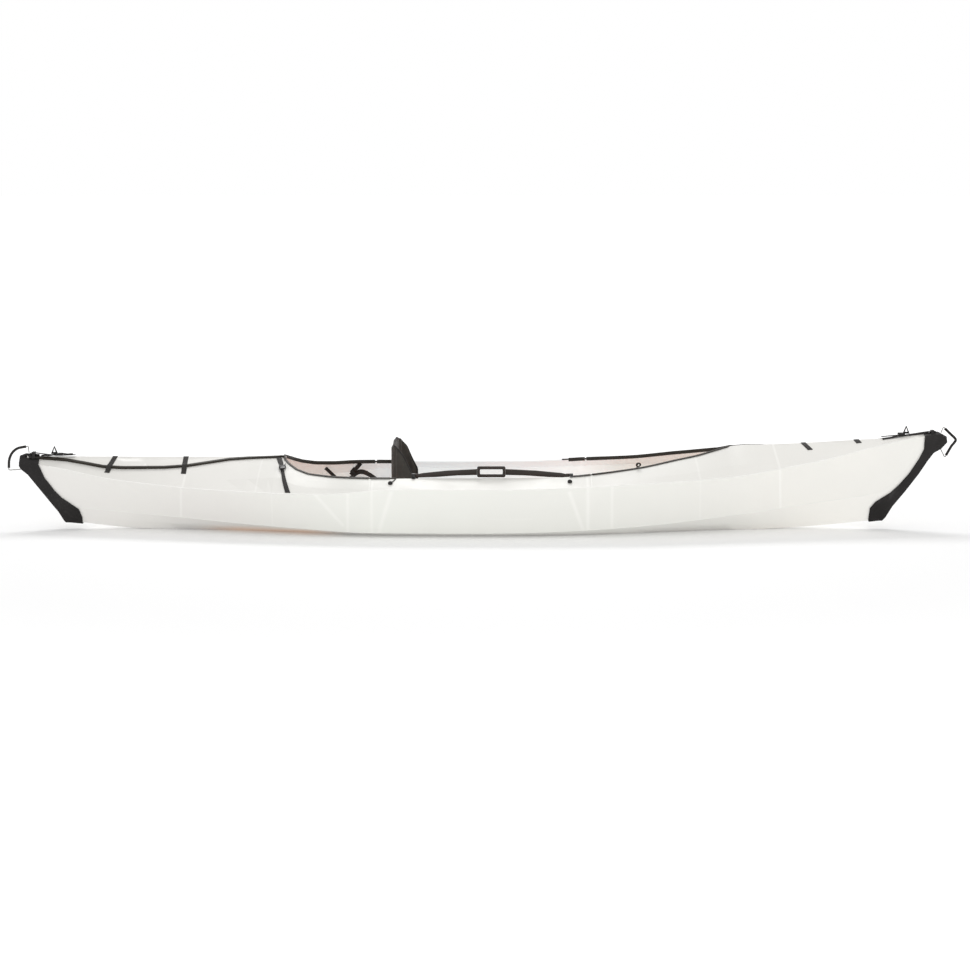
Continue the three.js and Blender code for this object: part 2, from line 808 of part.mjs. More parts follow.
const deckRampLength = 10;
const bendClearance = 4; // from a bend to the end of a strap
const deckStraps = {
  rear_strap_aft: { foot: -0.812, crest: -0.793, port: 0.985, starboard: 0.757 },
  rear_strap_fore: { foot: -0.638, crest: -0.64, port: 0.985, starboard: 0.54 },
  fore_strap_aft: { foot: 0.722, crest: 0.69, port: 0.96, starboard: 0.41 },
  fore_strap_fore: { foot: 0.817, crest: 0.805, port: 0.94, starboard: 0.345 },
};
const sideStrap = { foot: -0.4075, crest: -0.441, end: 0.975, gap: 1.3 };
const strapParts = [1 / 6, 1 / 3, 1 / 2, 2 / 3, 5 / 6, 1]; // of the way between two bends
const ribbonRows = 5;
const webbingClearance = 0.45;

// A point on the outside of the deck, a distance down from the ridge and a height off the skin.
function skinPoint(station, side, distance, level = 0) {
  const row = deckRow(station, side);
  let left = distance;
  let i = 0;
  while (i + 2 < row.length && left > row[i].distanceTo(row[i + 1])) {
    left -= row[i].distanceTo(row[i + 1]);
    i++;
  }
  const normal = segmentNormal(...(side > 0 ? [row[i + 1], row[i]] : [row[i], row[i + 1]]));
  return along(row[i], row[i + 1], left).add(new THREE.Vector3(0, normal.y * level, normal.z * level));
}

// Distances down from the ridge to the bends of the skin.
function bendDistances(station, side) {
  const row = deckRow(station, side);
  let run = 0;
  return row.slice(1).map((point, i) => (run += point.distanceTo(row[i])));
}

// Where a strap that leans crosses the bends.
function bendsAlong(stationOf, side) {
  const first = bendDistances(stationOf(0), side);
  return first.map((distance, i) => bendDistances(stationOf(distance), side)[i]);
}

// The step of a strap over the edging of the wing, from the under flap up to the crest.
function seamStep(stationOf, side, foot) {
  const proud = clearance + trimWall;
  const { reach } = sectionAt(stationOf(0));
  const onWing = (inward, level) => {
    const line = wingLine(stationOf(reach - inward));
    const [peak, edge] = [line[2], side > 0 ? line[0] : line[4]];
    const normal = segmentNormal(...(side > 0 ? [edge, peak] : [peak, edge]));
    return along(edge, peak, inward).add(new THREE.Vector3(0, normal.y * level, normal.z * level));
  };
  return [
    skinPoint(stationOf(foot), side, foot),
    onWing(-proud, proud),
    onWing(trimLeg, proud),
    onWing(trimLeg + deckRampLength, 0),
    onWing((trimLeg + deckRampLength + reach) / 2, 0),
  ];
}

function stepFoot(station) {
  return sectionAt(station).reach + clearance + trimWall + deckRampLength;
}

function strapEnd(strap, side) {
  return side > 0 ? strap.port : strap.starboard;
}

// Bends of a flap that a strap meets beyond a distance and before its end.
function bendsMet(strap, side, clear) {
  const bends = bendDistances(stationAt(strap.crest * halfLength), side);
  const end = bends[bends.length - 1] * strapEnd(strap, side) - bendClearance;
  return bends.map((distance, i) => (distance > clear && distance < end ? i : -1)).filter((i) => i >= 0);
}

// Line of a strap across the boat, from port over the crest to starboard.
function strapLine(strap, acrossX) {
  const crestX = strap.crest * halfLength;
  const lean = (strap.foot - strap.crest) * halfLength;
  const crestStation = stationAt(crestX + acrossX);
  const over = -Math.sign(crestStation);
  const width = bendDistances(crestStation, -over).pop();
  const stationOf = (distance) => stationAt(crestX + (lean * distance) / width + acrossX);
  const onSkin = (side, kept) => {
    const bends = bendsAlong(stationOf, side);
    const distances = [...kept.map((i) => bends[i]), bends[bends.length - 1] * strapEnd(strap, side)];
    return distances.map((distance) => skinPoint(stationOf(distance), side, distance));
  };
  const clear = stepFoot(stationAt(crestX)) + deckRampLength;
  const path = [
    ...onSkin(-over, bendsMet(strap, -over, clear)).reverse(),
    ...seamStep(stationOf, -over, stepFoot(crestStation)),
    deckRow(crestStation, over)[0],
    ...onSkin(over, bendsMet(strap, over, 0)),
  ];
  return over > 0 ? path.reverse() : path;
}

function ribbonFrom(lineAt, width, gap = webbingClearance) {
  const shares = Array.from({ length: ribbonRows }, (_, i) => i / (ribbonRows - 1) - 1 / 2);
  const layer = (level) => shares.map((share) => offsetLine(lineAt(share * width), level));
  return thickSheet(layer(gap), layer(gap + webbingThickness));
}

function sideStrapStation(acrossX) {
  const crestX = sideStrap.crest * halfLength;
  const lean = (sideStrap.foot - sideStrap.crest) * halfLength;
  const width = bendDistances(stationAt(crestX), -1).pop();
  return (distance) => stationAt(crestX + acrossX + (lean * distance) / width);
}

// Distances down the deck to the bends and the parts between them.
function sideStrapPlaces(station) {
  const bends = bendDistances(station, -1);
  const start = bends[1] + trimWall + 4 * clearance;
  const places = [start, ...bends.slice(2, -1), bends[bends.length - 1] * sideStrap.end];
  const parts = (place, i) => strapParts.map((part) => THREE.MathUtils.lerp(places[i], place, part));
  return [start, ...places.slice(1).flatMap(parts)];
}

// From the rear peak down to the starboard gunwale.
function sideStrapLine(acrossX) {
  const stationOf = sideStrapStation(acrossX);
  return sideStrapPlaces(stationAt(sideStrap.crest * halfLength)).map((distance, i) => {
    const station = stationOf(distance);
    return skinPoint(station, -1, sideStrapPlaces(station)[i]);
  });
}

function buildDeckStraps() {
  for (const [name, strap] of Object.entries(deckStraps)) {
    addPiece(name, ribbonFrom((x) => strapLine(strap, x), webbingWidth), materials.webbing);
  }
  addPiece("side_strap", ribbonFrom(sideStrapLine, webbingWidth, sideStrap.gap), materials.webbing);
}

buildDeckStraps();

// Cam buckles

const cheekThickness = 3;
const buckleLength = 26;
const buckleHeight = 10;
const bridgeShare = 0.4; // part of the buckle's length that its bridge covers
const pinRadius = 1.8;
const barrelWall = 2.2;
const leverReach = 26;
const leverThickness = 3;
const loopBase = 24;
const loopHeight = 28;
const loopBand = 3;
const loopWidth = 10;

const cheekInner = webbingWidth / 2 + clearance;
const pinX = buckleLength * 0.2;
const barrelRadius = pinRadius + clearance + barrelWall;
const pinZ = webbingThickness + clearance + barrelRadius;
const bridgeBottom = webbingThickness + clearance;

function pinAcross(radius, width, segments = 20) {
  return new THREE.CylinderGeometry(radius, radius, width, segments);
}

// A buckle lies along its own x, on a strap whose underside is at zero.
function buckleBody() {
  const half = buckleLength / 2;
  const outer = cheekInner + cheekThickness;
  const cheeks = [
    block(-half, half, cheekInner, outer, clearance, buckleHeight),
    block(-half, half, -outer, -cheekInner, clearance, buckleHeight),
  ];
  const bridge = block(-half, -half + buckleLength * bridgeShare, -outer, outer, bridgeBottom, buckleHeight / 2);
  const pin = pinAcross(pinRadius, 2 * outer - cheekThickness).translate(pinX, 0, pinZ);
  return joined(...cheeks, bridge, pin);
}

function camLever() {
  const width = 2 * (cheekInner - clearance);
  const barrel = pinAcross(barrelRadius, width).translate(pinX, 0, pinZ);
  const top = pinZ + barrelRadius;
  const plate = block(pinX, pinX + leverReach, -width / 2, width / 2, top - leverThickness, top);
  const hole = pinAcross(pinRadius + clearance, 2 * width).translate(pinX, 0, pinZ);
  return cut(joined(barrel, plate), hole);
}

function pullLoop() {
  const bottom = pinZ + barrelRadius + clearance;
  const middle = pinX + leverReach - loopBase / 2;
  const corners = (inset) => [
    new THREE.Vector2(middle - loopBase / 2 + 2 * inset, bottom + inset),
    new THREE.Vector2(middle + loopBase / 2 - 2 * inset, bottom + inset),
    new THREE.Vector2(middle, bottom + loopHeight - 2 * inset),
  ];
  const shape = new THREE.Shape(corners(0));
  shape.holes.push(new THREE.Path(corners(loopBand)));
  return acrossBoat(shape, loopWidth);
}

// Puts a piece on a strap: its x along the strap, its z out of the skin.
function seated(geometry, origin, alongStrap, outOfSkin) {
  const y = outOfSkin.clone().cross(alongStrap).normalize();
  const x = y.clone().cross(outOfSkin).normalize();
  const frame = new THREE.Matrix4().makeBasis(x, y, outOfSkin.clone().normalize()).setPosition(origin);
  return geometry.applyMatrix4(frame);
}

function addBuckle(name, origin, alongStrap, outOfSkin) {
  addPiece(name + "_buckle", seated(buckleBody(), origin, alongStrap, outOfSkin), materials.buckle);
  addPiece(name + "_lever", seated(camLever(), origin, alongStrap, outOfSkin), materials.buckle);
}

// Tension straps along the ridge, from the caps

const tension = {
  stern: { end: -1, tailShare: 0.87863, buckleShare: 0.91338, capShare: 0.97583 },
  bow: { end: 1, tailShare: 0.85854, buckleShare: 0.90144, capShare: 0.97583 },
};
const tailLift = 6;

function crestPath({ end, tailShare, buckleShare, capShare }) {
  const [tail, buckle, cap] = [tailShare, buckleShare, capShare].map((share) => share * halfLength);
  const half = buckleLength / 2;
  const gripFar = capGripShare * halfLength - strapGripLength;
  const onRidge = (distance) => [distance * end, ridgeHeight(distance * end) + clearance];
  const level = ridgeHeight(buckle * end) + seamTrimRise;
  return [
    [tail * end, ridgeHeight(tail * end) + tailLift],
    [(buckle - half) * end, level],
    [(buckle + half) * end, level],
    [gripFar * end, capTop(end) + clearance],
    [cap * end, capTop(end) + clearance],
  ].map(([x, z]) => new THREE.Vector3(x, 0, z));
}

const seamTrimRise = 2 * clearance + trimWall;

function crestRibbon(path) {
  const rows = (lift) =>
    path.map((point) => [
      new THREE.Vector3(point.x, -webbingWidth / 2, point.z + lift),
      new THREE.Vector3(point.x, webbingWidth / 2, point.z + lift),
    ]);
  return thickSheet(rows(0), rows(webbingThickness));
}

function buildTensionStraps() {
  for (const [name, sizes] of Object.entries(tension)) {
    const path = crestPath(sizes);
    addPiece(name + "_tension_strap", crestRibbon(path), materials.webbing);
    const origin = path[1].clone().lerp(path[2], 1 / 2);
    const towardsCap = new THREE.Vector3(sizes.end, 0, 0);
    const up = new THREE.Vector3(0, 0, 1);
    addBuckle(name, origin, towardsCap, up);
    addPiece(name + "_pull_loop", seated(pullLoop(), origin, towardsCap, up), materials.webbing);
  }
}

buildTensionStraps();

const sideBuckleDistance = 140; // down from the ridge

function buildSideBuckle() {
  const half = buckleLength / 2;
  const at = (across, distance) => skinPoint(sideStrapStation(across)(distance), -1, distance);
  const down = at(0, sideBuckleDistance + half).sub(at(0, sideBuckleDistance - half));
  const across = at(half, sideBuckleDistance).sub(at(-half, sideBuckleDistance));
  const outOfSkin = down.clone().cross(across).normalize();
  outOfSkin.multiplyScalar(Math.sign(outOfSkin.z));
  const origin = at(0, sideBuckleDistance).addScaledVector(outOfSkin, 8 * clearance);
  addBuckle("side_strap", origin, down, outOfSkin);
}

buildSideBuckle();

// Bent carry grips on their cords, beyond the caps

const gripRadius = 5.2;
const cordRadius = 1.8;
const cordLead = 7;
const cordSteps = 4; // from one place on the path to the next
const ringSides = 10;
const curveSteps = 15;
// Beyond the end of a cord, radius.
const ballShares = [
  [0.7, 0.71],
  [0.97, 0.26],
];

// Along the half length, height: the grip, then the two ends of its cord.
const sternGripShares = [
  [-1.0228, 0.622],
  [-1.0218, 0.7],
  [-1.0155, 0.771],
  [-1.0035, 0.819],
  [-0.9848, 0.838],
];
const bowGripShares = [
  [0.9953, 1.022],
  [1.009, 0.96],
  [1.019, 0.906],
  [1.011, 0.85],
  [0.9988, 0.75],
];
const sternCordShares = [
  [-0.99651, 0.60806],
  [-0.97854, 0.77446],
];
const bowCordShares = [
  [0.98695, 0.98041],
  [0.98699, 0.81288],
];

function sidePoints(shares) {
  return shares.map(([x, z]) => new THREE.Vector3(x * halfLength, 0, z * hullHeight));
}

function tubeAlong(curve, radius) {
  const shape = new THREE.Shape().absarc(0, 0, radius, 0, 2 * Math.PI);
  return new THREE.ExtrudeGeometry(shape, {
    extrudePath: curve,
    steps: curveSteps,
    curveSegments: ringSides / 2,
    bevelEnabled: false,
  });
}

function ringRound(point, across, radius) {
  return Array.from({ length: ringSides }, (_, i) => {
    const turn = (2 * Math.PI * i) / ringSides;
    const ring = point.clone().addScaledVector(across, radius * Math.cos(turn));
    ring.y += radius * Math.sin(turn);
    return ring;
  });
}

// The cord leaves its cap, runs through the bore of the grip, and goes back to the cap.
function addGrip(name, gripShares, cordShares) {
  const [first, last] = sidePoints(cordShares);
  const held = sidePoints(gripShares);
  const grip = new THREE.CatmullRomCurve3(held);
  const before = held[0].clone().addScaledVector(grip.getTangent(0), -cordLead);
  const after = held[held.length - 1].clone().addScaledVector(grip.getTangent(1), cordLead);
  const places = [first, before, ...held, after, last];
  const path = new THREE.CatmullRomCurve3(places).getPoints(cordSteps * (places.length - 1));
  const frames = path.map((point, i) => {
    const along = path[Math.min(i + 1, path.length - 1)].clone().sub(path[Math.max(i - 1, 0)]).normalize();
    return { point, along, across: new THREE.Vector3(-along.z, 0, along.x) };
  });
  const rings = (list, radius) => list.map(({ point, across }) => ringRound(point, across, radius));
  const ball = ({ point, along, across }, way) =>
    ballShares.map(([out, wide]) =>
      ringRound(point.clone().addScaledVector(along, way * out * cordRadius), across, wide * cordRadius),
    );
  const start = 2 * cordSteps;
  const stop = path.length - start;
  const bore = loft(rings(frames.slice(start - 1, stop + 1), cordRadius + clearance));
  const tube = loft(rings(frames.slice(start, stop), gripRadius));
  const ends = [ball(frames[0], -1).reverse(), ball(frames[frames.length - 1], 1)];
  addPiece(name + "_grip", cut(tube, bore), materials.rubber);
  addPiece(name + "_cord", loft([...ends[0], ...rings(frames, cordRadius), ...ends[1]]), materials.cord);
}

addGrip("stern", sternGripShares, sternCordShares);
addGrip("bow", bowGripShares, bowCordShares);

// Carry rail on the starboard rim: a bail that swings outwards on two pivots

const railY = -0.71235 * halfBeam;
const railPivotZ = 0.62755 * hullHeight;
const railThickness = 9;
const railEyeRadius = 8;
const railEyeLength = 14;
const railPinRadius = 3;
const railPinLength = 9;
const railSternX = -0.142275 * halfLength;
const railHandle = {
  low: -0.01195 * halfLength,
  high: 0.04779 * halfLength,
  bottom: -6,
  top: 36,
  wall: 11,
  corner: 8,
  thickness: 13,
};
const railArmHeight = 24;
// Along the arm from its pivot to the handle, height over the axis.
const railArmShares = [
  [0, -0.3],
  [0.3, -0.22],
  [0.68, 0.04],
  [1, 0.12],
  [1, 1.05],
  [0.52, 0.82],
  [0.1, 0.42],
  [0, 0.2],
];

function cylinderAlongX(radius, fromX, toX, segments = 20) {
  const rod = new THREE.CylinderGeometry(radius, radius, Math.abs(toX - fromX), segments);
  return rod.rotateZ(Math.PI / 2).translate((fromX + toX) / 2, railY, railPivotZ);
}

// An arm runs from its pivot to the handle, and has an eye with a blind bore at the pivot.
function railArm(pivotX, handleX) {
  const way = Math.sign(handleX - pivotX);
  const start = pivotX + way * clearance;
  const root = start + (way * railEyeLength) / 2;
  const outline = railArmShares.map(
    ([x, z]) => new THREE.Vector2(root + (handleX - way * clearance - root) * x, railPivotZ + z * railArmHeight),
  );
  const arm = acrossBoat(new THREE.Shape(outline), railThickness, railY);
  const eye = cylinderAlongX(railEyeRadius, start, start + way * railEyeLength);
  const bore = cylinderAlongX(
    railPinRadius + clearance,
    pivotX - way * overrun,
    pivotX + way * (railPinLength + 2 * clearance),
  );
  return cut(joined(arm, eye), bore);
}

function handleFrame() {
  const { low, high, bottom, top, wall, corner: radius, thickness } = railHandle;
  const shape = roundedOutline(low, high, railPivotZ + bottom, railPivotZ + top, radius);
  const [windowLow, windowHigh] = [railPivotZ + bottom + wall, railPivotZ + top - wall];
  const window = roundedOutline(low + wall, high - wall, windowLow, windowHigh, radius / 2);
  shape.holes.push(new THREE.Path(window.getPoints().reverse()));
  return acrossBoat(shape, thickness, railY);
}

// A clip on the rim, with a lug inboard of it that carries the pin.
function railPivot(pivotX, way) {
  const far = pivotX - way * railLugLength;
  const [low, high] = [Math.min(far, pivotX), Math.max(far, pivotX)];
  const clip = rimChannel(-1, low / halfLength, high / halfLength);
  const edge = deckRow(low / halfLength, -1)[0];
  const farEdge = deckRow(high / halfLength, -1)[0];
  const inboard = Math.max(edge.y, farEdge.y) + 3 * clearance;
  const lowest = Math.max(edge.z, farEdge.z) - clearance;
  const lug = block(low, high, inboard, railY + railEyeRadius, lowest, railPivotZ + railEyeRadius);
  const pin = cylinderAlongX(railPinRadius, pivotX - way * cheekThickness, pivotX + way * railPinLength);
  return joined(clip, lug, pin);
}

function buildRail() {
  addPiece("carry_rail_rear", railArm(railSternX, railHandle.low), materials.trim);
  addPiece("carry_rail_fore", railArm(railBowX, railHandle.high), materials.trim);
  addPiece("carry_handle", handleFrame(), materials.trim);
  addPiece("rail_pivot_rear", railPivot(railSternX, 1), materials.buckle);
  addPiece("rail_pivot_fore", railPivot(railBowX, -1), materials.buckle);
}

buildRail();

// Studs and hook on the starboard deck

const studRadius = 9;
const studHeight = 10;
const studShares = [
  [0, 0],
  [1, 0],
  [1, 0.4],
  [0.8, 0.8],
  [0.35, 1],
  [0, 1.05],
];
const studDistance = 40; // down from the rim
const studStations = { rear: -0.19332, fore: 0.18192 };
const hookStation = 0.32582;
const hookRadius = 2.4;
const hookShares = [
  [0, 0],
  [0, 0.5],
  [0.35, 1],
  [0.8, 0.75],
  [0.6, 0.35],
];
const hookHeight = 18;

function skinNormal(station, side, distance) {
  const [one, two] = [skinPoint(station, side, distance), skinPoint(station, side, distance, 1)];
  return two.sub(one).normalize();
}

function addStud(name, station) {
  const profile = studShares.map(([radius, height]) => new THREE.Vector2(radius * studRadius, height * studHeight));
  const normal = skinNormal(station, -1, studDistance);
  const turn = new THREE.Quaternion().setFromUnitVectors(new THREE.Vector3(0, 1, 0), normal);
  const seat = skinPoint(station, -1, studDistance, webbingClearance);
  const stud = new THREE.LatheGeometry(profile, 20).applyQuaternion(turn);
  addPiece(name, stud.translate(seat.x, seat.y, seat.z), materials.rubber);
}

function addHook() {
  const seat = skinPoint(hookStation, -1, rimLeg / 2, channelSlack + trimWall + clearance + hookRadius / 2);
  const points = hookShares.map(
    ([x, z]) => new THREE.Vector3(seat.x + x * hookHeight, seat.y, seat.z + z * hookHeight),
  );
  const curve = new THREE.CatmullRomCurve3(points);
  addPiece("rim_hook", tubeAlong(curve, hookRadius), materials.trim);
}

addStud("stud_rear", studStations.rear);
addStud("stud_fore", studStations.fore);
addHook();

// Inside

const boardThickness = 4;
const boardSteps = { from: -12, to: 11 }; // in steps between stations
const bulkheadThickness = 4;
const bulkheadStations = { rear: -0.54955, fore: 0.57019 };
const boardClearance = 0.45;
const bulkheadClearance = 1;
const floorTop = sheetThickness + boardClearance + boardThickness;

function floorboard() {
  const stations = stationsBetween(boardSteps.from / stationsPerShare, boardSteps.to / stationsPerShare);
  const layer = (depth) =>
    stations.map((station) => {
      const row = offsetLine(sectionAt(station).points, -depth);
      const [starboard, port] = [row.slice(2, 4), row.slice(4, 6)];
      return [between(...starboard)[0], starboard[1], port[0], between(...port)[0]];
    });
  return thickSheet(layer(sheetThickness + boardClearance), layer(floorTop));
}

// A plate that fills the section, fitted inside the sheet.
function bulkhead(station) {
  const middle = station * halfLength;
  const rings = [middle - bulkheadThickness / 2, middle + bulkheadThickness / 2].map((place) => {
    const section = sectionAt(place / halfLength);
    return divided(offsetLine(section.points, -sheetThickness - bulkheadClearance, true), section, 0);
  });
  return loft(rings);
}

const padX = { from: -0.19875 * halfLength, to: 0.03801 * halfLength };
const padHalfWidth = 165;
const padThickness = 28;
const padCorner = 40;
const padEdge = 6;

function seatPad() {
  const outline = roundedOutline(
    padX.from + padEdge,
    padX.to - padEdge,
    padEdge - padHalfWidth,
    padHalfWidth - padEdge,
    padCorner,
  );
  const pad = new THREE.ExtrudeGeometry(outline, {
    depth: padThickness - 2 * padEdge,
    bevelThickness: padEdge,
    bevelSize: padEdge,
    bevelSegments: 2,
    curveSegments: 5,
  });
  return pad.translate(0, 0, floorTop + clearance + padEdge);
}

const backRearX = -0.193864 * halfLength;
const backWing = 98; // how far the wings reach forward
const backHalfWidth = 198;
const backThickness = 15;
const backTop = 0.9005 * hullHeight;
const backFoot = floorTop + clearance + padThickness + clearance;
const backColumns = 15;
const backRows = 7;
const backBend = 0.45; // share of the half width at which the wings begin
// Reach forward, height of the top edge.
const backTopShares = [
  [0, 1],
  [0.05, 1],
  [0.27, 0.965],
  [0.4, 0.922],
  [0.59, 0.874],
  [0.8, 0.826],
  [0.95, 0.76],
  [1, 0.62],
];
const backWingFootShare = 0.42; // height of the wings' lower tips

function backPlan(share) {
  const bend = Math.max(0, Math.abs(share) - backBend) / (1 - backBend);
  return new THREE.Vector2(backRearX + backWing * bend * bend, backHalfWidth * Math.sin((share * Math.PI) / 2));
}

// A padded panel, wrapped forward at both sides.
function seatBack() {
  const topLine = lineThrough(backTopShares);
  const shares = Array.from({ length: backColumns }, (_, i) => (2 * i) / (backColumns - 1) - 1);
  const layer = (depth) =>
    shares.map((share) => {
      const place = backPlan(share);
      const step = 1 / backColumns;
      const tangent = backPlan(Math.min(1, share + step)).sub(backPlan(Math.max(-1, share - step))).normalize();
      const [x, y] = [place.x + tangent.y * depth, place.y - tangent.x * depth];
      const reach = (place.x - backRearX) / backWing;
      const top = topLine(reach)[0] * backTop;
      const foot = backFoot + (backWingFootShare * backTop - backFoot) * reach;
      const rows = Array.from({ length: backRows }, (_, i) => i / (backRows - 1));
      return rows.map((row) => new THREE.Vector3(x, y, foot + (top - foot) * row));
    });
  return thickSheet(layer(0), layer(backThickness));
}

const backStrapX = { anchor: -0.297 * halfLength, rise: -0.2688 * halfLength };
const backStrapAnchorShare = 0.84; // of the way up the side
const backStrapShare = 3 / 7; // place on the back, out from the middle
const backStrapHeight = 0.36;
const backStrapRise = 45;

// From the hull's side to the rear of the seat back.
function backStrap(side) {
  const row = offsetLine(sectionAt(backStrapX.anchor / halfLength).points, -sheetThickness - clearance);
  const [chine, gunwale] = side > 0 ? [row[5], row[6]] : [row[2], row[1]];
  const anchor = chine.clone().lerp(gunwale, backStrapAnchorShare);
  const flare = (gunwale.y - chine.y) / (gunwale.z - chine.z);
  anchor.y -= (side * webbingThickness) / 2 + (flare * webbingWidth) / 2;
  const back = backPlan(side * backStrapShare);
  const end = new THREE.Vector3(back.x - webbingThickness / 2, back.y, backStrapHeight * backTop);
  const rise = anchor.clone().lerp(end, (backStrapX.rise - anchor.x) / (end.x - anchor.x));
  rise.z += backStrapRise;
  const path = new THREE.CatmullRomCurve3([anchor, rise, end]).getPoints(curveSteps);
  const across = new THREE.Vector3(end.y - anchor.y, anchor.x - end.x, 0).setLength(webbingThickness / 2);
  const rows = (sign) =>
    path.map((point) => {
      const middle = point.clone().addScaledVector(across, sign);
      const half = new THREE.Vector3(0, 0, webbingWidth / 2);
      return [middle.clone().sub(half), middle.clone().add(half)];
    });
  return thickSheet(rows(1), rows(-1));
}

const footRailX = { from: 0.24437 * halfLength, to: 0.38013 * halfLength };
const footRailY = { from: 55, to: 71 };
const footRailHeight = 12;
const footBarX = 0.31225 * halfLength;
const footBarZ = 95;
const footBarRadius = 12;
const footBarHalfWidth = 140;
const footSledLength = 60;
const footSledWall = 6;
const footLegLength = 18;

function footRail(side) {
  const ys = [side * footRailY.from, side * footRailY.to].sort((a, b) => a - b);
  const bottom = floorTop + clearance;
  return block(footRailX.from, footRailX.to, ...ys, bottom, bottom + footRailHeight);
}

// A bar on two legs, whose sleds ride over the rails.
function footBar() {
  const bar = pinAcross(footBarRadius, 2 * footBarHalfWidth, 24).translate(footBarX, 0, footBarZ);
  const railTop = floorTop + clearance + footRailHeight;
  const parts = [1, -1].flatMap((side) => {
    const reach = (extra) => [side * (footRailY.from - extra), side * (footRailY.to + extra)].sort((a, b) => a - b);
    const half = [footSledLength / 2, footLegLength / 2];
    const sled = block(
      footBarX - half[0],
      footBarX + half[0],
      ...reach(footSledWall),
      railTop - footRailHeight / 2,
      railTop + footSledWall,
    );
    const leg = block(footBarX - half[1], footBarX + half[1], ...reach(0), railTop + clearance, footBarZ);
    return [sled, leg];
  });
  const grooves = [1, -1].map((side) => {
    const ys = [side * (footRailY.from - clearance), side * (footRailY.to + clearance)].sort((a, b) => a - b);
    const [low, high] = [footBarX - footSledLength, footBarX + footSledLength];
    return block(low, high, ...ys, floorTop, railTop + clearance);
  });
  return cut(joined(bar, ...parts), ...grooves);
}

function buildInside() {
  addPiece("floorboard", floorboard(), materials.board);
  addPiece("bulkhead_rear", bulkhead(bulkheadStations.rear), materials.sheet);
  addPiece("bulkhead_fore", bulkhead(bulkheadStations.fore), materials.sheet);
  addPiece("seat_pad", seatPad(), materials.seat);
  addPiece("seat_back", seatBack(), materials.seat);
  addPiece("back_strap_port", backStrap(1), materials.webbing);
  addPiece("back_strap_starboard", backStrap(-1), materials.webbing);
  addPiece("foot_rail_port", footRail(1), materials.buckle);
  addPiece("foot_rail_starboard", footRail(-1), materials.buckle);
  addPiece("foot_bar", footBar(), materials.buckle);
}

buildInside();

export default kayak;
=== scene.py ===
import bpy
import bmesh
import json
import math
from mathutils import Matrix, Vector


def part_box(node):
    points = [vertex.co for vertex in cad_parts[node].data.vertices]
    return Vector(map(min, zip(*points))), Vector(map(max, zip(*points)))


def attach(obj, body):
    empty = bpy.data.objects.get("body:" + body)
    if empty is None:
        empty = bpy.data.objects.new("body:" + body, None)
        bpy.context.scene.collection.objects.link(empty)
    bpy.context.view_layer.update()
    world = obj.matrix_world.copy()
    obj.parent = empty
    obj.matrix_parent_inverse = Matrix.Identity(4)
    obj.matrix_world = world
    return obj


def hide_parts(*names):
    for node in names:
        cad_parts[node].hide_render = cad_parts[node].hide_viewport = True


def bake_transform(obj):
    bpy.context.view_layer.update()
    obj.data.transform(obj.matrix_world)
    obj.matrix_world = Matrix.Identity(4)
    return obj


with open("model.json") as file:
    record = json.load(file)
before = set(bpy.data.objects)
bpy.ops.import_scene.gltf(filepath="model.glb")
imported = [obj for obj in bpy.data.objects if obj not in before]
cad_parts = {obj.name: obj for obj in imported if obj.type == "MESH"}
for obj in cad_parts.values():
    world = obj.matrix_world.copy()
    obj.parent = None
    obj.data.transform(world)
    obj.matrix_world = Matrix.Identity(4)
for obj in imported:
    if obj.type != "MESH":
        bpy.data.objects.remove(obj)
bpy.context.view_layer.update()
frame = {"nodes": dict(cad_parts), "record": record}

nodes = frame["nodes"]
bodyOf = {node: body for body, members in frame["record"]["behaviour"]["bodies"].items() for node in members}
slotOf = {part["node"]: part["material_slot"] for part in frame["record"]["subparts"]}
print("model loaded:", len(nodes), "nodes")

# Camera: the side view from starboard, bow at the right
cameraSizes = {
    "distance": 10.0, "elevation": 7.5, "target": (0.00856, 0.0, 0.1727), "lens": 93.2, "sensor": 36, "reach": 200,
}


def placeCamera():
    tilt = math.radians(cameraSizes["elevation"])
    target = Vector(cameraSizes["target"])
    place = target + Vector((0, -math.cos(tilt), math.sin(tilt))) * cameraSizes["distance"]
    bpy.ops.object.camera_add(location=place, rotation=(target - place).to_track_quat("-Z", "Y").to_euler())
    view = bpy.context.object
    view.name = "viewCamera"
    view.data.lens = cameraSizes["lens"]
    view.data.sensor_width = cameraSizes["sensor"]
    view.data.clip_end = cameraSizes["reach"]
    bpy.context.scene.camera = view


placeCamera()

# Small helpers for colours and node trees
white = (1, 1, 1, 1)


def srgb(red, green, blue):  # from the 0 to 255 of a picture to the linear values of a shader
    shares = [c / 255 for c in (red, green, blue)]
    return tuple(c / 12.92 if c < 0.04045 else ((c + 0.055) / 1.055) ** 2.4 for c in shares) + (1.0,)


def addNode(tree, kind, values=None, **settings):
    node = tree.nodes.new(kind)
    for name, value in settings.items():
        setattr(node, name, value)
    for socket, value in (values or {}).items():
        if isinstance(value, bpy.types.NodeSocket):
            tree.links.new(value, node.inputs[socket])
        else:
            node.inputs[socket].default_value = value
    return node


def maths(tree, operation, first, second=0.0, clamp=False):
    node = addNode(tree, "ShaderNodeMath", {0: first, 1: second}, operation=operation, use_clamp=clamp)
    return node.outputs[0]


def mapped(tree, value, low, high, outLow=0.0, outHigh=1.0):
    values = {0: value, 1: low, 2: high, 3: outLow, 4: outHigh}
    return addNode(tree, "ShaderNodeMapRange", values, interpolation_type="SMOOTHSTEP").outputs[0]


def mixed(tree, share, first, second):
    return addNode(tree, "ShaderNodeMix", {0: share, 6: first, 7: second}, data_type="RGBA").outputs[2]


def mixedValue(tree, share, first, second):
    return addNode(tree, "ShaderNodeMix", {0: share, 2: first, 3: second}, data_type="FLOAT").outputs[0]


def vectorMaths(tree, operation, first, second, output=0):
    return addNode(tree, "ShaderNodeVectorMath", {0: first, 1: second}, operation=operation).outputs[output]


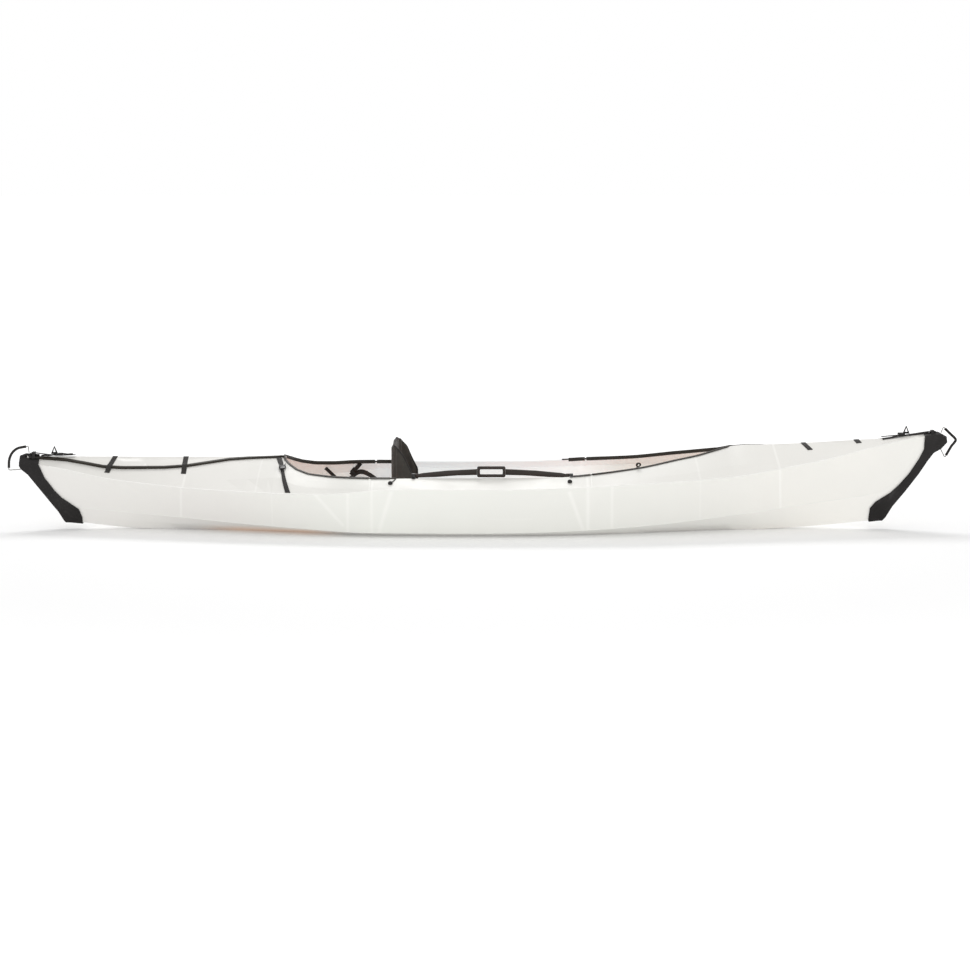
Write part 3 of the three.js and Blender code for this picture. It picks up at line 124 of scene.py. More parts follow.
def newGroup(name, inputs, outputs):
    tree = bpy.data.node_groups.new(name, "ShaderNodeTree")
    for label, kind in inputs:
        tree.interface.new_socket(name=label, in_out="INPUT", socket_type="NodeSocket" + kind)
    for label, kind in outputs:
        tree.interface.new_socket(name=label, in_out="OUTPUT", socket_type="NodeSocket" + kind)
    return tree, tree.nodes.new("NodeGroupInput").outputs, tree.nodes.new("NodeGroupOutput").inputs


def useGroup(tree, group, values):
    return addNode(tree, "ShaderNodeGroup", values, node_tree=group).outputs


# Shader groups shared by the materials: where the mask of each begins and is full, and its noise
maskSpans = {"fluteLine": (0.6, 1.0), "cloud": (0.3, 0.7), "scuff": (0.52, 0.75), "yarn": (0.1, 0.9)}
noises = {
    "cloud": {"Detail": 2.0, "Roughness": 0.5},
    "grain": {"Detail": 3.0, "Roughness": 0.6},
    "scuff": {"Scale": 3.0, "Detail": 5.0, "Roughness": 0.7},
    "fuzz": {"Scale": 900.0, "Detail": 2.0},
}
scuffStretch = (12.0, 60.0, 60.0)
fuzzShare = 0.4


def makeFoldMark():  # a soft line from Start to End, seen along Y
    inputs = [("Place", "Vector"), ("Start", "Vector"), ("End", "Vector"), ("Width", "Float")]
    tree, given, result = newGroup("foldMark", inputs, [("Mask", "Float")])
    flat = vectorMaths(tree, "MULTIPLY", given["Place"], (1, 0, 1))
    reach = vectorMaths(tree, "SUBTRACT", flat, given["Start"])
    span = vectorMaths(tree, "SUBTRACT", given["End"], given["Start"])
    ahead = vectorMaths(tree, "DOT_PRODUCT", reach, span, "Value")
    square = vectorMaths(tree, "DOT_PRODUCT", span, span, "Value")
    share = maths(tree, "DIVIDE", ahead, square, clamp=True)
    foot = addNode(tree, "ShaderNodeVectorMath", {0: span, "Scale": share}, operation="SCALE").outputs[0]
    off = vectorMaths(tree, "DISTANCE", reach, foot, "Value")
    tree.links.new(mapped(tree, off, 0.0, given["Width"], 1.0, 0.0), result["Mask"])
    return tree


def makeFlutes():  # the walls inside the sheet, as fine lines along the boat
    inputs = [("Place", "Vector"), ("Across", "Vector"), ("Pitch", "Float")]
    tree, given, result = newGroup("flutes", inputs, [("Height", "Float"), ("Line", "Float")])
    run = vectorMaths(tree, "DOT_PRODUCT", given["Place"], given["Across"], "Value")
    turn = maths(tree, "MULTIPLY", maths(tree, "DIVIDE", run, given["Pitch"]), 2 * math.pi)
    wave = maths(tree, "COSINE", turn)
    tree.links.new(wave, result["Height"])
    tree.links.new(mapped(tree, wave, *maskSpans["fluteLine"]), result["Line"])
    return tree


def makeClouding():  # slow, soft differences of tone
    tree, given, result = newGroup("clouding", [("Place", "Vector"), ("Size", "Float")], [("Mask", "Float")])
    scale = maths(tree, "DIVIDE", 1.0, given["Size"])
    cloud = addNode(tree, "ShaderNodeTexNoise", {"Vector": given["Place"], "Scale": scale, **noises["cloud"]})
    tree.links.new(mapped(tree, cloud.outputs[0], *maskSpans["cloud"]), result["Mask"])
    return tree


def makeGrain():  # moulded or extruded plastic, and scuffs on it
    inputs = [("Place", "Vector"), ("Size", "Float")]
    tree, given, result = newGroup("plasticGrain", inputs, [("Height", "Float"), ("Scuff", "Float")])
    scale = maths(tree, "DIVIDE", 1.0, given["Size"])
    fine = addNode(tree, "ShaderNodeTexNoise", {"Vector": given["Place"], "Scale": scale, **noises["grain"]})
    long = addNode(tree, "ShaderNodeMapping", {"Vector": given["Place"], "Scale": scuffStretch})
    rub = addNode(tree, "ShaderNodeTexNoise", {"Vector": long.outputs[0], **noises["scuff"]})
    tree.links.new(fine.outputs[0], result["Height"])
    tree.links.new(mapped(tree, rub.outputs[0], *maskSpans["scuff"]), result["Scuff"])
    return tree


def makeWeave():  # over-and-under yarns along two directions
    inputs = [("Place", "Vector"), ("Along", "Vector"), ("Across", "Vector"), ("Pitch", "Float")]
    tree, given, result = newGroup("weave", inputs, [("Height", "Float"), ("Shade", "Float")])
    waves = []
    for way in ("Along", "Across"):
        run = vectorMaths(tree, "DOT_PRODUCT", given["Place"], given[way], "Value")
        waves.append(maths(tree, "MULTIPLY", maths(tree, "DIVIDE", run, given["Pitch"]), math.pi))
    over = maths(tree, "MULTIPLY", maths(tree, "SINE", waves[0]), maths(tree, "SINE", waves[1]))
    under = maths(tree, "MULTIPLY", maths(tree, "COSINE", waves[0]), maths(tree, "COSINE", waves[1]))
    height = maths(tree, "ABSOLUTE", maths(tree, "SUBTRACT", over, under))
    fuzz = addNode(tree, "ShaderNodeTexNoise", {"Vector": given["Place"], **noises["fuzz"]})
    tree.links.new(maths(tree, "ADD", height, maths(tree, "MULTIPLY", fuzz.outputs[0], fuzzShare)), result["Height"])
    # Painted shade: Shade is low in the hollows of the weave and high on the raised yarns
    tree.links.new(mapped(tree, height, *maskSpans["yarn"]), result["Shade"])
    return tree


foldMark = makeFoldMark()
flutes = makeFlutes()
clouding = makeClouding()
plasticGrain = makeGrain()
weave = makeWeave()
print("shader groups made")


def newFinish(name):
    material = bpy.data.materials.new(name)
    material.use_nodes = True
    tree = material.node_tree
    shader = tree.nodes["Principled BSDF"]
    place = tree.nodes.new("ShaderNodeTexCoord").outputs["Object"]
    return material, tree, shader, place


def addBump(tree, shader, height, strength, distance):
    bump = addNode(tree, "ShaderNodeBump", {"Height": height, "Strength": strength, "Distance": distance})
    tree.links.new(bump.outputs[0], shader.inputs["Normal"])


# The scored and folded sheet
sheetSizes = {
    "pitch": 0.005, "fluteDepth": 0.0006, "bump": 0.22, "scoreWidth": 0.0018, "scoreDepth": 2.5,
    "cloudSize": 0.55, "blotchSize": 0.12, "rough": (0.34, 0.46), "specular": 0.3,
    "shares": {"clouds": 0.55, "flutes": 0.5, "lines": 0.1, "glowRest": 0.06},
    "stern": srgb(228, 225, 221),
    "middle": srgb(236, 237, 231),
    "bow": srgb(239, 237, 231),
    "cloudy": srgb(230, 229, 224),
    # Painted shade: the dull tone towards which the deck is darkened
    "shaded": srgb(216, 214, 209),
    "fold": srgb(250, 249, 245),
    # Painted light: a warm glow of the orange floorboard through the sheet, then a warm bounce tone for the inside
    # faces
    "warmGlow": srgb(248, 229, 214),
    "inside": srgb(238, 231, 223),
    # Painted light: the tint of the glow, warm where the floorboard shows through and cool inside the open cockpit
    "glowing": srgb(255, 222, 196),
    "coolGlow": srgb(228, 240, 250),
    # Painted glow: emission strengths that stand in for light coming through the sheet
    "through": {"closed": 0.18, "open": 0.3, "warmGlow": 0.05},  # light that comes through the sheet
}
# Where a change of the sheet begins and ends: x along the boat, and z for the height
sheetSpans = {
    "stern": (-1.25, -0.35), "bow": (0.2, 1.3), "open": (0.3, 0.7),
    # Painted glow: where the floorboard's warm glow rises and falls along the boat, and the height over which it
    # fades
    "glowRise": (-1.18, -0.95), "glowFall": (-0.72, -0.5), "glowHeight": (0.002, 0.034),
}
# Fold marks on a side: x and z of both ends, half width, strength
sideMarks = [
    (-0.646, 0.182, -0.545, 0.052, 0.012, 0.4),
    (-0.353, 0.190, -0.404, 0.024, 0.014, 0.4),
    (0.334, 0.190, 0.392, 0.024, 0.013, 0.45),
    (-1.176, 0.190, -1.188, 0.066, 0.008, 0.35),
    (-0.816, 0.176, -0.822, 0.045, 0.005, 0.2),
    (-0.519, 0.185, -0.526, 0.024, 0.010, 0.4),
    (-0.427, 0.196, -0.432, 0.022, 0.009, 0.4),
    (0.404, 0.208, 0.409, 0.030, 0.012, 0.5),
    (0.497, 0.214, 0.503, 0.036, 0.010, 0.4),
    (0.842, 0.225, 0.850, 0.064, 0.006, 0.2),
    (1.158, 0.262, 1.172, 0.100, 0.008, 0.5),
    (0.020, 0.079, 0.190, 0.079, 0.006, 0.12),
]
deckMarks = [
    (-1.170, 0.190, -1.165, 0.290, 0.008, 0.3),
    (-0.880, 0.180, -0.872, 0.290, 0.006, 0.2),
    (0.842, 0.225, 0.835, 0.300, 0.007, 0.2),
    (1.158, 0.262, 1.150, 0.345, 0.008, 0.3),
    (-0.427, 0.196, -0.424, 0.240, 0.008, 0.3),
    (0.404, 0.208, 0.402, 0.250, 0.010, 0.35),
]


# Painted light, in the order of the arguments after marks: warm bounce inside, warm glow through it, glow outside,
# shade
def makeSheet(name, across, marks, inner=0.0, glow=0.0, outerGlow=0.07, shade=0.0):
    material, tree, shader, place = newFinish(name)
    shares, through = sheetSizes["shares"], sheetSizes["through"]
    apart = addNode(tree, "ShaderNodeSeparateXYZ", {0: place}).outputs
    lines = useGroup(tree, flutes, {"Place": place, "Across": across, "Pitch": sheetSizes["pitch"]})
    clouds = useGroup(tree, clouding, {"Place": place, "Size": sheetSizes["cloudSize"]})["Mask"]
    blotch = useGroup(tree, clouding, {"Place": place, "Size": sheetSizes["blotchSize"]})["Mask"]
    toMiddle = mapped(tree, apart["X"], *sheetSpans["stern"])
    toBow = mapped(tree, apart["X"], *sheetSpans["bow"])
    colour = mixed(tree, toMiddle, sheetSizes["stern"], sheetSizes["middle"])
    colour = mixed(tree, toBow, colour, sheetSizes["bow"])
    colour = mixed(tree, maths(tree, "MULTIPLY", clouds, shares["clouds"]), colour, sheetSizes["cloudy"])
    # Painted shade: the deck is darkened towards the shaded tone so it reads no brighter than the sides
    if shade:
        colour = mixed(tree, shade, colour, sheetSizes["shaded"])
    # Painted light: a warm tone of light bounced from the orange floorboard onto the inside faces
    if inner:
        colour = mixed(tree, inner, colour, sheetSizes["inside"])
    # Painted glow: the floorboard's warm light through the sheet, low down and near the stern
    if glow:
        rises = mapped(tree, apart["X"], *sheetSpans["glowRise"])
        falls = mapped(tree, apart["X"], *sheetSpans["glowFall"], 1.0, shares["glowRest"])
        near = maths(tree, "MULTIPLY", rises, falls)
        low = mapped(tree, apart["Z"], *sheetSpans["glowHeight"], 1.0, 0.0)
        lit = maths(tree, "MULTIPLY", maths(tree, "MULTIPLY", near, low), glow)
        colour = mixed(tree, lit, colour, sheetSizes["warmGlow"])
    height = maths(tree, "MULTIPLY", lines["Height"], shares["flutes"])
    for startX, startZ, endX, endZ, width, strength in marks:
        line = {"Place": place, "Start": (startX, 0, startZ), "End": (endX, 0, endZ)}
        mark = useGroup(tree, foldMark, {**line, "Width": width})["Mask"]
        colour = mixed(tree, maths(tree, "MULTIPLY", mark, strength), colour, sheetSizes["fold"])
        score = useGroup(tree, foldMark, {**line, "Width": sheetSizes["scoreWidth"]})["Mask"]
        height = maths(tree, "SUBTRACT", height, maths(tree, "MULTIPLY", score, sheetSizes["scoreDepth"] * strength))
    colour = mixed(tree, maths(tree, "MULTIPLY", lines["Line"], shares["lines"]), colour, sheetSizes["cloudy"])
    tree.links.new(colour, shader.inputs["Base Color"])
    tree.links.new(mapped(tree, blotch, 0.0, 1.0, *sheetSizes["rough"]), shader.inputs["Roughness"])
    shader.inputs["Specular IOR Level"].default_value = sheetSizes["specular"]
    # Painted glow: the sheet emits light in place of light through it, a little outside and more on the inside faces
    geometry = tree.nodes.new("ShaderNodeNewGeometry").outputs
    facing = vectorMaths(tree, "DOT_PRODUCT", geometry["Normal"], (0, 1, 0), "Value")
    inward = maths(tree, "LESS_THAN", maths(tree, "MULTIPLY", facing, apart["Y"]), 0.0)
    inOpen = mapped(tree, maths(tree, "ABSOLUTE", apart["X"]), *sheetSpans["open"], 1.0, 0.0)
    insideGlow = mapped(tree, inOpen, 0.0, 1.0, through["closed"], through["open"])
    strength = mixedValue(tree, inward, outerGlow, insideGlow)
    # Painted glow: cool inside the open cockpit, warm where the floorboard shows through; bulkheads glow evenly
    tint = mixed(tree, maths(tree, "MULTIPLY", inward, inOpen), white, sheetSizes["coolGlow"])
    if glow:
        strength = maths(tree, "ADD", strength, maths(tree, "MULTIPLY", lit, through["warmGlow"]))
        tint = mixed(tree, lit, tint, sheetSizes["glowing"])
    tree.links.new(tint, shader.inputs["Emission Color"])
    if inner:
        shader.inputs["Emission Strength"].default_value = through["closed"]
    else:
        tree.links.new(strength, shader.inputs["Emission Strength"])
    addBump(tree, shader, height, sheetSizes["bump"], sheetSizes["fluteDepth"])
    return material


# Painted light on each sheet: sides and bottom glow warm near the stern, the bottom glows most, the deck is painted
# darker
sheetFinishes = {
    "side": makeSheet("sheetSide", (0, 0, 1), sideMarks, glow=0.35),
    "bottom": makeSheet("sheetBottom", (0, 1, 0), sideMarks, glow=0.8, outerGlow=0.1),
    "deck": makeSheet("sheetDeck", (0, 0.8, 0.6), deckMarks, outerGlow=0.02, shade=0.65),
    "bulkhead": makeSheet("sheetBulkhead", (0, 1, 0), [], inner=0.6),
}

# Plastics
plasticSizes = {
    "cap": {"base": (27, 25, 24), "rubbed": (50, 47, 47), "rough": (0.42, 0.55), "grain": 0.0012, "bump": 0.25},
    "trim": {"base": (38, 33, 26), "rubbed": (58, 52, 44), "rough": (0.4, 0.55), "grain": 0.0009, "bump": 0.2},
    "rail": {"base": (40, 33, 27), "rubbed": (56, 43, 41), "rough": (0.36, 0.5), "grain": 0.001, "bump": 0.2},
    "buckle": {"base": (26, 24, 23), "rubbed": (42, 40, 39), "rough": (0.3, 0.45), "grain": 0.0006, "bump": 0.15},
    "rubber": {"base": (32, 30, 29), "rubbed": (48, 46, 44), "rough": (0.6, 0.78), "grain": 0.0005, "bump": 0.4},
}
plasticLook = {"cloudSize": 0.09, "scuffShare": 0.5, "cloudShare": 0.3, "specular": 0.25, "depth": 0.0003}


def makePlastic(name):
    facts = plasticSizes[name]
    material, tree, shader, place = newFinish(name + "Plastic")
    grain = useGroup(tree, plasticGrain, {"Place": place, "Size": facts["grain"]})
    clouds = useGroup(tree, clouding, {"Place": place, "Size": plasticLook["cloudSize"]})["Mask"]
    worn = maths(tree, "MULTIPLY", grain["Scuff"], plasticLook["scuffShare"])
    rub = maths(tree, "ADD", worn, maths(tree, "MULTIPLY", clouds, plasticLook["cloudShare"]), clamp=True)
    tree.links.new(mixed(tree, rub, srgb(*facts["base"]), srgb(*facts["rubbed"])), shader.inputs["Base Color"])
    tree.links.new(mapped(tree, grain["Scuff"], 0.0, 1.0, *facts["rough"]), shader.inputs["Roughness"])
    shader.inputs["Specular IOR Level"].default_value = plasticLook["specular"]
    addBump(tree, shader, grain["Height"], facts["bump"], plasticLook["depth"])
    return material


plastics = {name: makePlastic(name) for name in plasticSizes}

# Webbing, cord and seat cloth
webbingTones = {"dark": (33, 31, 30), "light": (62, 59, 57), "pitch": 0.0013}
padTones = {"dark": (46, 44, 41), "light": (78, 74, 69), "pitch": 0.0015}
clothSizes = {
    "strapDeck": {**webbingTones, "along": (0, 1, 0.4), "across": (1, 0, 0)},
    "strapKeel": {**webbingTones, "along": (1, 0, 0), "across": (0, 1, 0)},
    "strapSeat": {**webbingTones, "along": (0.7, 0.7, 0), "across": (0, 0, 1)},
    "cordBraid": {
        "dark": (112, 111, 107), "light": (174, 173, 168), "pitch": 0.0009,
        "along": (0.8, 0.5, 0.8), "across": (0.8, -0.5, 0.8),
    },
    "seatCloth": {**padTones, "along": (0.3, 1, 0), "across": (0, 0.2, 1)},
    "padCloth": {**padTones, "along": (1, 0, 0), "across": (0, 1, 0)},
    "piping": {
        "dark": (30, 29, 28), "light": (56, 53, 51), "pitch": 0.0011, "along": (0, 0.5, 1), "across": (1, 0.4, 0),
    },
}
clothLook = {
    "cloudSize": 0.05, "yarnShadeShare": 0.45, "cloudShare": 0.3, "rough": (0.8, 0.92), "sheen": 0.15, "sheenRough": 0.4,
    "specular": 0.25, "bump": 0.5, "depth": 0.0004,
}


def makeCloth(name):
    facts = clothSizes[name]
    material, tree, shader, place = newFinish(name)
    yarns = {"Place": place, "Along": facts["along"], "Across": facts["across"], "Pitch": facts["pitch"]}
    cloth = useGroup(tree, weave, yarns)
    clouds = useGroup(tree, clouding, {"Place": place, "Size": clothLook["cloudSize"]})["Mask"]
    # Painted shade: the cloth is darker in the hollows of the weave and lighter on its raised yarns
    yarnShade = maths(tree, "MULTIPLY", cloth["Shade"], clothLook["yarnShadeShare"])
    share = maths(tree, "ADD", yarnShade, maths(tree, "MULTIPLY", clouds, clothLook["cloudShare"]), clamp=True)
    tree.links.new(mixed(tree, share, srgb(*facts["dark"]), srgb(*facts["light"])), shader.inputs["Base Color"])
    tree.links.new(mapped(tree, cloth["Shade"], 0.0, 1.0, *clothLook["rough"]), shader.inputs["Roughness"])
    shader.inputs["Sheen Weight"].default_value = clothLook["sheen"]
    shader.inputs["Sheen Roughness"].default_value = clothLook["sheenRough"]
    shader.inputs["Specular IOR Level"].default_value = clothLook["specular"]
    addBump(tree, shader, cloth["Height"], clothLook["bump"], clothLook["depth"])
    return material


cloths = {name: makeCloth(name) for name in clothSizes}

# The orange floorboard
boardSizes = {
    "base": srgb(224, 112, 44), "pale": srgb(236, 134, 66), "pitch": 0.004, "cloudSize": 0.15, "grain": 0.002,
    "cloudShare": 0.4, "lineShare": 0.25, "rough": (0.4, 0.58), "bump": 0.3, "depth": 0.0005,
    "bevel": 0.0004, "smooth": 20,
}


def makeBoard():
    material, tree, shader, place = newFinish("boardSheet")
    lines = useGroup(tree, flutes, {"Place": place, "Across": (0, 1, 0), "Pitch": boardSizes["pitch"]})
    clouds = useGroup(tree, clouding, {"Place": place, "Size": boardSizes["cloudSize"]})["Mask"]
    grain = useGroup(tree, plasticGrain, {"Place": place, "Size": boardSizes["grain"]})
    lined = maths(tree, "MULTIPLY", lines["Line"], boardSizes["lineShare"])
    share = maths(tree, "ADD", maths(tree, "MULTIPLY", clouds, boardSizes["cloudShare"]), lined, clamp=True)
    tree.links.new(mixed(tree, share, boardSizes["base"], boardSizes["pale"]), shader.inputs["Base Color"])
    tree.links.new(mapped(tree, grain["Scuff"], 0.0, 1.0, *boardSizes["rough"]), shader.inputs["Roughness"])
    addBump(tree, shader, lines["Height"], boardSizes["bump"], boardSizes["depth"])
    return material


boardFinish = makeBoard()
print("materials made")

# Copies of the solids with clean edges and smooth runs
copySizes = {"merge": 0.00002, "flat": 0.4, "sharpest": 40}  # angles in degrees
edgeSegments = 2


def deselectAll():
    if bpy.context.mode != "OBJECT":
        bpy.ops.object.mode_set(mode="OBJECT")
    bpy.ops.object.select_all(action="DESELECT")


def makeActive(piece):
    deselectAll()
    piece.select_set(True)
    bpy.context.view_layer.objects.active = piece


def applyAll(piece):
    makeActive(piece)
    for modifier in list(piece.modifiers):
        bpy.ops.object.modifier_apply(modifier=modifier.name)


def settle(piece, material, slot, body, *replaced):
    piece.data.materials.clear()
    piece.data.materials.append(material)
    if body:
        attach(piece, body)
    if replaced:
        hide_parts(*replaced)
    return piece


def copyOf(node, name):
    piece = bpy.data.objects.new(name, nodes[node].data.copy())
    bpy.context.scene.collection.objects.link(piece)
    makeActive(piece)
    bpy.ops.object.mode_set(mode="EDIT")
    bpy.ops.mesh.select_all(action="SELECT")
    bpy.ops.mesh.remove_doubles(threshold=copySizes["merge"])
    bpy.ops.mesh.dissolve_limited(angle_limit=math.radians(copySizes["flat"]))
    bpy.ops.object.mode_set(mode="OBJECT")
    return piece


def roundEdges(piece, width, sharpest):
    edge = piece.modifiers.new("edge", "BEVEL")
    edge.width, edge.segments, edge.limit_method = width, edgeSegments, "ANGLE"
    edge.angle_limit = math.radians(sharpest)
    applyAll(piece)


def dress(node, material, bevel, smooth, rides=True):
    piece = copyOf(node, node + "_finished")
    if bevel:
        roundEdges(piece, bevel, copySizes["sharpest"])
    makeActive(piece)
    bpy.ops.object.shade_smooth_by_angle(angle=math.radians(smooth))
    return settle(piece, material, slotOf[node], bodyOf[node] if rides else None, node)


sheetSmooth = 22  # degrees
sheetNodes = {
    "side": ["hull_side_port", "hull_side_starboard"],
    "bottom": ["hull_bottom"],
    "deck": [
        "rear_flap_port", "rear_flap_starboard", "side_deck_port", "side_deck_starboard", "fore_flap_port",
        "fore_flap_starboard",
    ],
    "bulkhead": ["bulkhead_rear", "bulkhead_fore"],
}
for finish, names in sheetNodes.items():
    for node in names:
        dress(node, sheetFinishes[finish], bevel=0.0, smooth=sheetSmooth)
print("hull dressed")

# Bevel and the angle that still reads as smooth, for each moulded or extruded piece
plasticNodes = {
    "cap": {"nodes": ["stern_cap", "bow_cap"], "bevel": 0.0014, "smooth": 38},
    "trim": {
        "nodes": [
            "rear_seam_trim", "fore_seam_trim", "rim_trim_rear_port", "rim_trim_rear_starboard", "rim_tip_rear_port",
            "rim_tip_rear_starboard", "rim_tip_fore_port", "rim_tip_fore_starboard", "rim_trim_fore_port",
            "rim_trim_fore_starboard", "rim_hook",
        ],
        "bevel": 0.0005, "smooth": 35,
    },
    "rail": {"nodes": ["carry_rail_rear", "carry_rail_fore", "carry_handle"], "bevel": 0.0016, "smooth": 35},
    "buckle": {
        "nodes": [
            "side_strap_buckle", "side_strap_lever", "stern_buckle", "stern_lever", "bow_buckle", "bow_lever",
            "rail_pivot_rear", "rail_pivot_fore", "foot_rail_port", "foot_rail_starboard", "foot_bar",
        ],
        "bevel": 0.0005, "smooth": 35,
    },
    "rubber": {"nodes": ["stud_rear", "stud_fore"], "bevel": 0.0, "smooth": 60},
}
for finish, facts in plasticNodes.items():
    for node in facts["nodes"]:
        dress(node, plastics[finish], facts["bevel"], facts["smooth"])
dress("floorboard", boardFinish, boardSizes["bevel"], boardSizes["smooth"])
print("plastics dressed")

# Webbing: bands with rounded edges
strapSizes = {"bevel": 0.0005, "smooth": 40}
strapNodes = {
    "strapDeck": ["rear_strap_aft", "rear_strap_fore", "fore_strap_aft", "fore_strap_fore", "side_strap"],
    "strapKeel": ["stern_tension_strap", "bow_tension_strap", "stern_pull_loop", "bow_pull_loop"],
    "strapSeat": ["back_strap_port", "back_strap_starboard"],
}
# The back straps are fast to the hull at their anchors and to the seat back at their ends
for finish, names in strapNodes.items():
    for node in names:
        strap = dress(node, cloths[finish], **strapSizes, rides=finish != "strapSeat")
        if finish == "strapSeat":
            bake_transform(strap)
print("straps dressed")

tubeSmooth = 50  # degrees


def tubeAlong(name, path, radius, sides, steps, closed=False):  # a tube on a smooth path
    bpy.ops.curve.primitive_bezier_curve_add(location=(0, 0, 0))
    piece = bpy.context.object
    piece.name = name
    curve = piece.data
    curve.splines.clear()
    spline = curve.splines.new("BEZIER")
    spline.bezier_points.add(len(path) - 1)
    for point, place in zip(spline.bezier_points, path):
        point.co = place
        point.handle_left_type = point.handle_right_type = "AUTO"
    spline.use_cyclic_u = closed
    curve.dimensions, curve.resolution_u = "3D", steps
    curve.bevel_depth, curve.bevel_resolution, curve.use_fill_caps = radius, sides, True
    makeActive(piece)
    bpy.ops.object.convert(target="MESH")
    piece = bpy.context.object
    bpy.ops.object.shade_smooth_by_angle(angle=math.radians(tubeSmooth))
    return piece


# Grips: x and z of the cord's path, of which the grip covers the middle
gripSizes = {
    "stern": [
        (-1.83507, 0.23836), (-1.86402, 0.23579), (-1.88391, 0.23684), (-1.88436, 0.23976), (-1.88349, 0.24382),
        (-1.88326, 0.25792), (-1.88164, 0.2744), (-1.87714, 0.28902), (-1.87004, 0.30223), (-1.8602, 0.31288),
        (-1.84795, 0.32105), (-1.82974, 0.326), (-1.81351, 0.3285), (-1.80957, 0.32994), (-1.80667, 0.32998),
        (-1.8036, 0.3192), (-1.80198, 0.30359),
    ],
    "bow": [
        (1.81747, 0.38432), (1.82272, 0.39733), (1.8278, 0.40548), (1.83011, 0.40401), (1.83284, 0.40062),
        (1.84456, 0.38959), (1.85807, 0.37632), (1.86966, 0.36579), (1.87649, 0.35515), (1.87126, 0.3447),
        (1.86176, 0.3332), (1.84953, 0.31221), (1.83929, 0.294), (1.83754, 0.28988), (1.83581, 0.28793),
        (1.82758, 0.29944), (1.81754, 0.31865),
    ],
    "gripRadius": 0.0052,
    "cordRadius": 0.0018,
    "covered": (4, 13),
    "bead": {"major_radius": 0.0044, "minor_radius": 0.0014, "major_segments": 28, "minor_segments": 10},
    "beadInset": 0.0016,
    "finer": 3,
}


def makeGrip(name):
    path = [Vector((x, 0, z)) for x, z in gripSizes[name]]
    inside = path[slice(*gripSizes["covered"])]
    grip = tubeAlong(name + "_grip_tube", inside, gripSizes["gripRadius"], sides=6, steps=5)
    beads = []
    for place, beyond in ((inside[0], inside[1]), (inside[-1], inside[-2])):
        along = (beyond - place).normalized()
        turn = along.to_track_quat("Z", "Y").to_euler()
        middle = place + along * gripSizes["beadInset"]
        bpy.ops.mesh.primitive_torus_add(location=middle, rotation=turn, **gripSizes["bead"])
        beads.append(bpy.context.object)
    makeActive(grip)
    for bead in beads:
        bead.select_set(True)
    bpy.ops.object.join()
    bpy.ops.object.shade_smooth_by_angle(angle=math.radians(tubeSmooth))
    settle(grip, plastics["rubber"], "rubber", name + "_handle", name + "_grip")
    cord = tubeAlong(name + "_cord_braid", path, gripSizes["cordRadius"], sides=5, steps=6)
    settle(cord, cloths["cordBraid"], "cord", name + "_handle", name + "_cord")
    fine = []
    for first, second in zip(path, path[1:]):
        fine += [first.lerp(second, step / gripSizes["finer"]) for step in range(gripSizes["finer"])]
    fine.append(path[-1])


makeGrip("stern")
makeGrip("bow")
print("grips made")

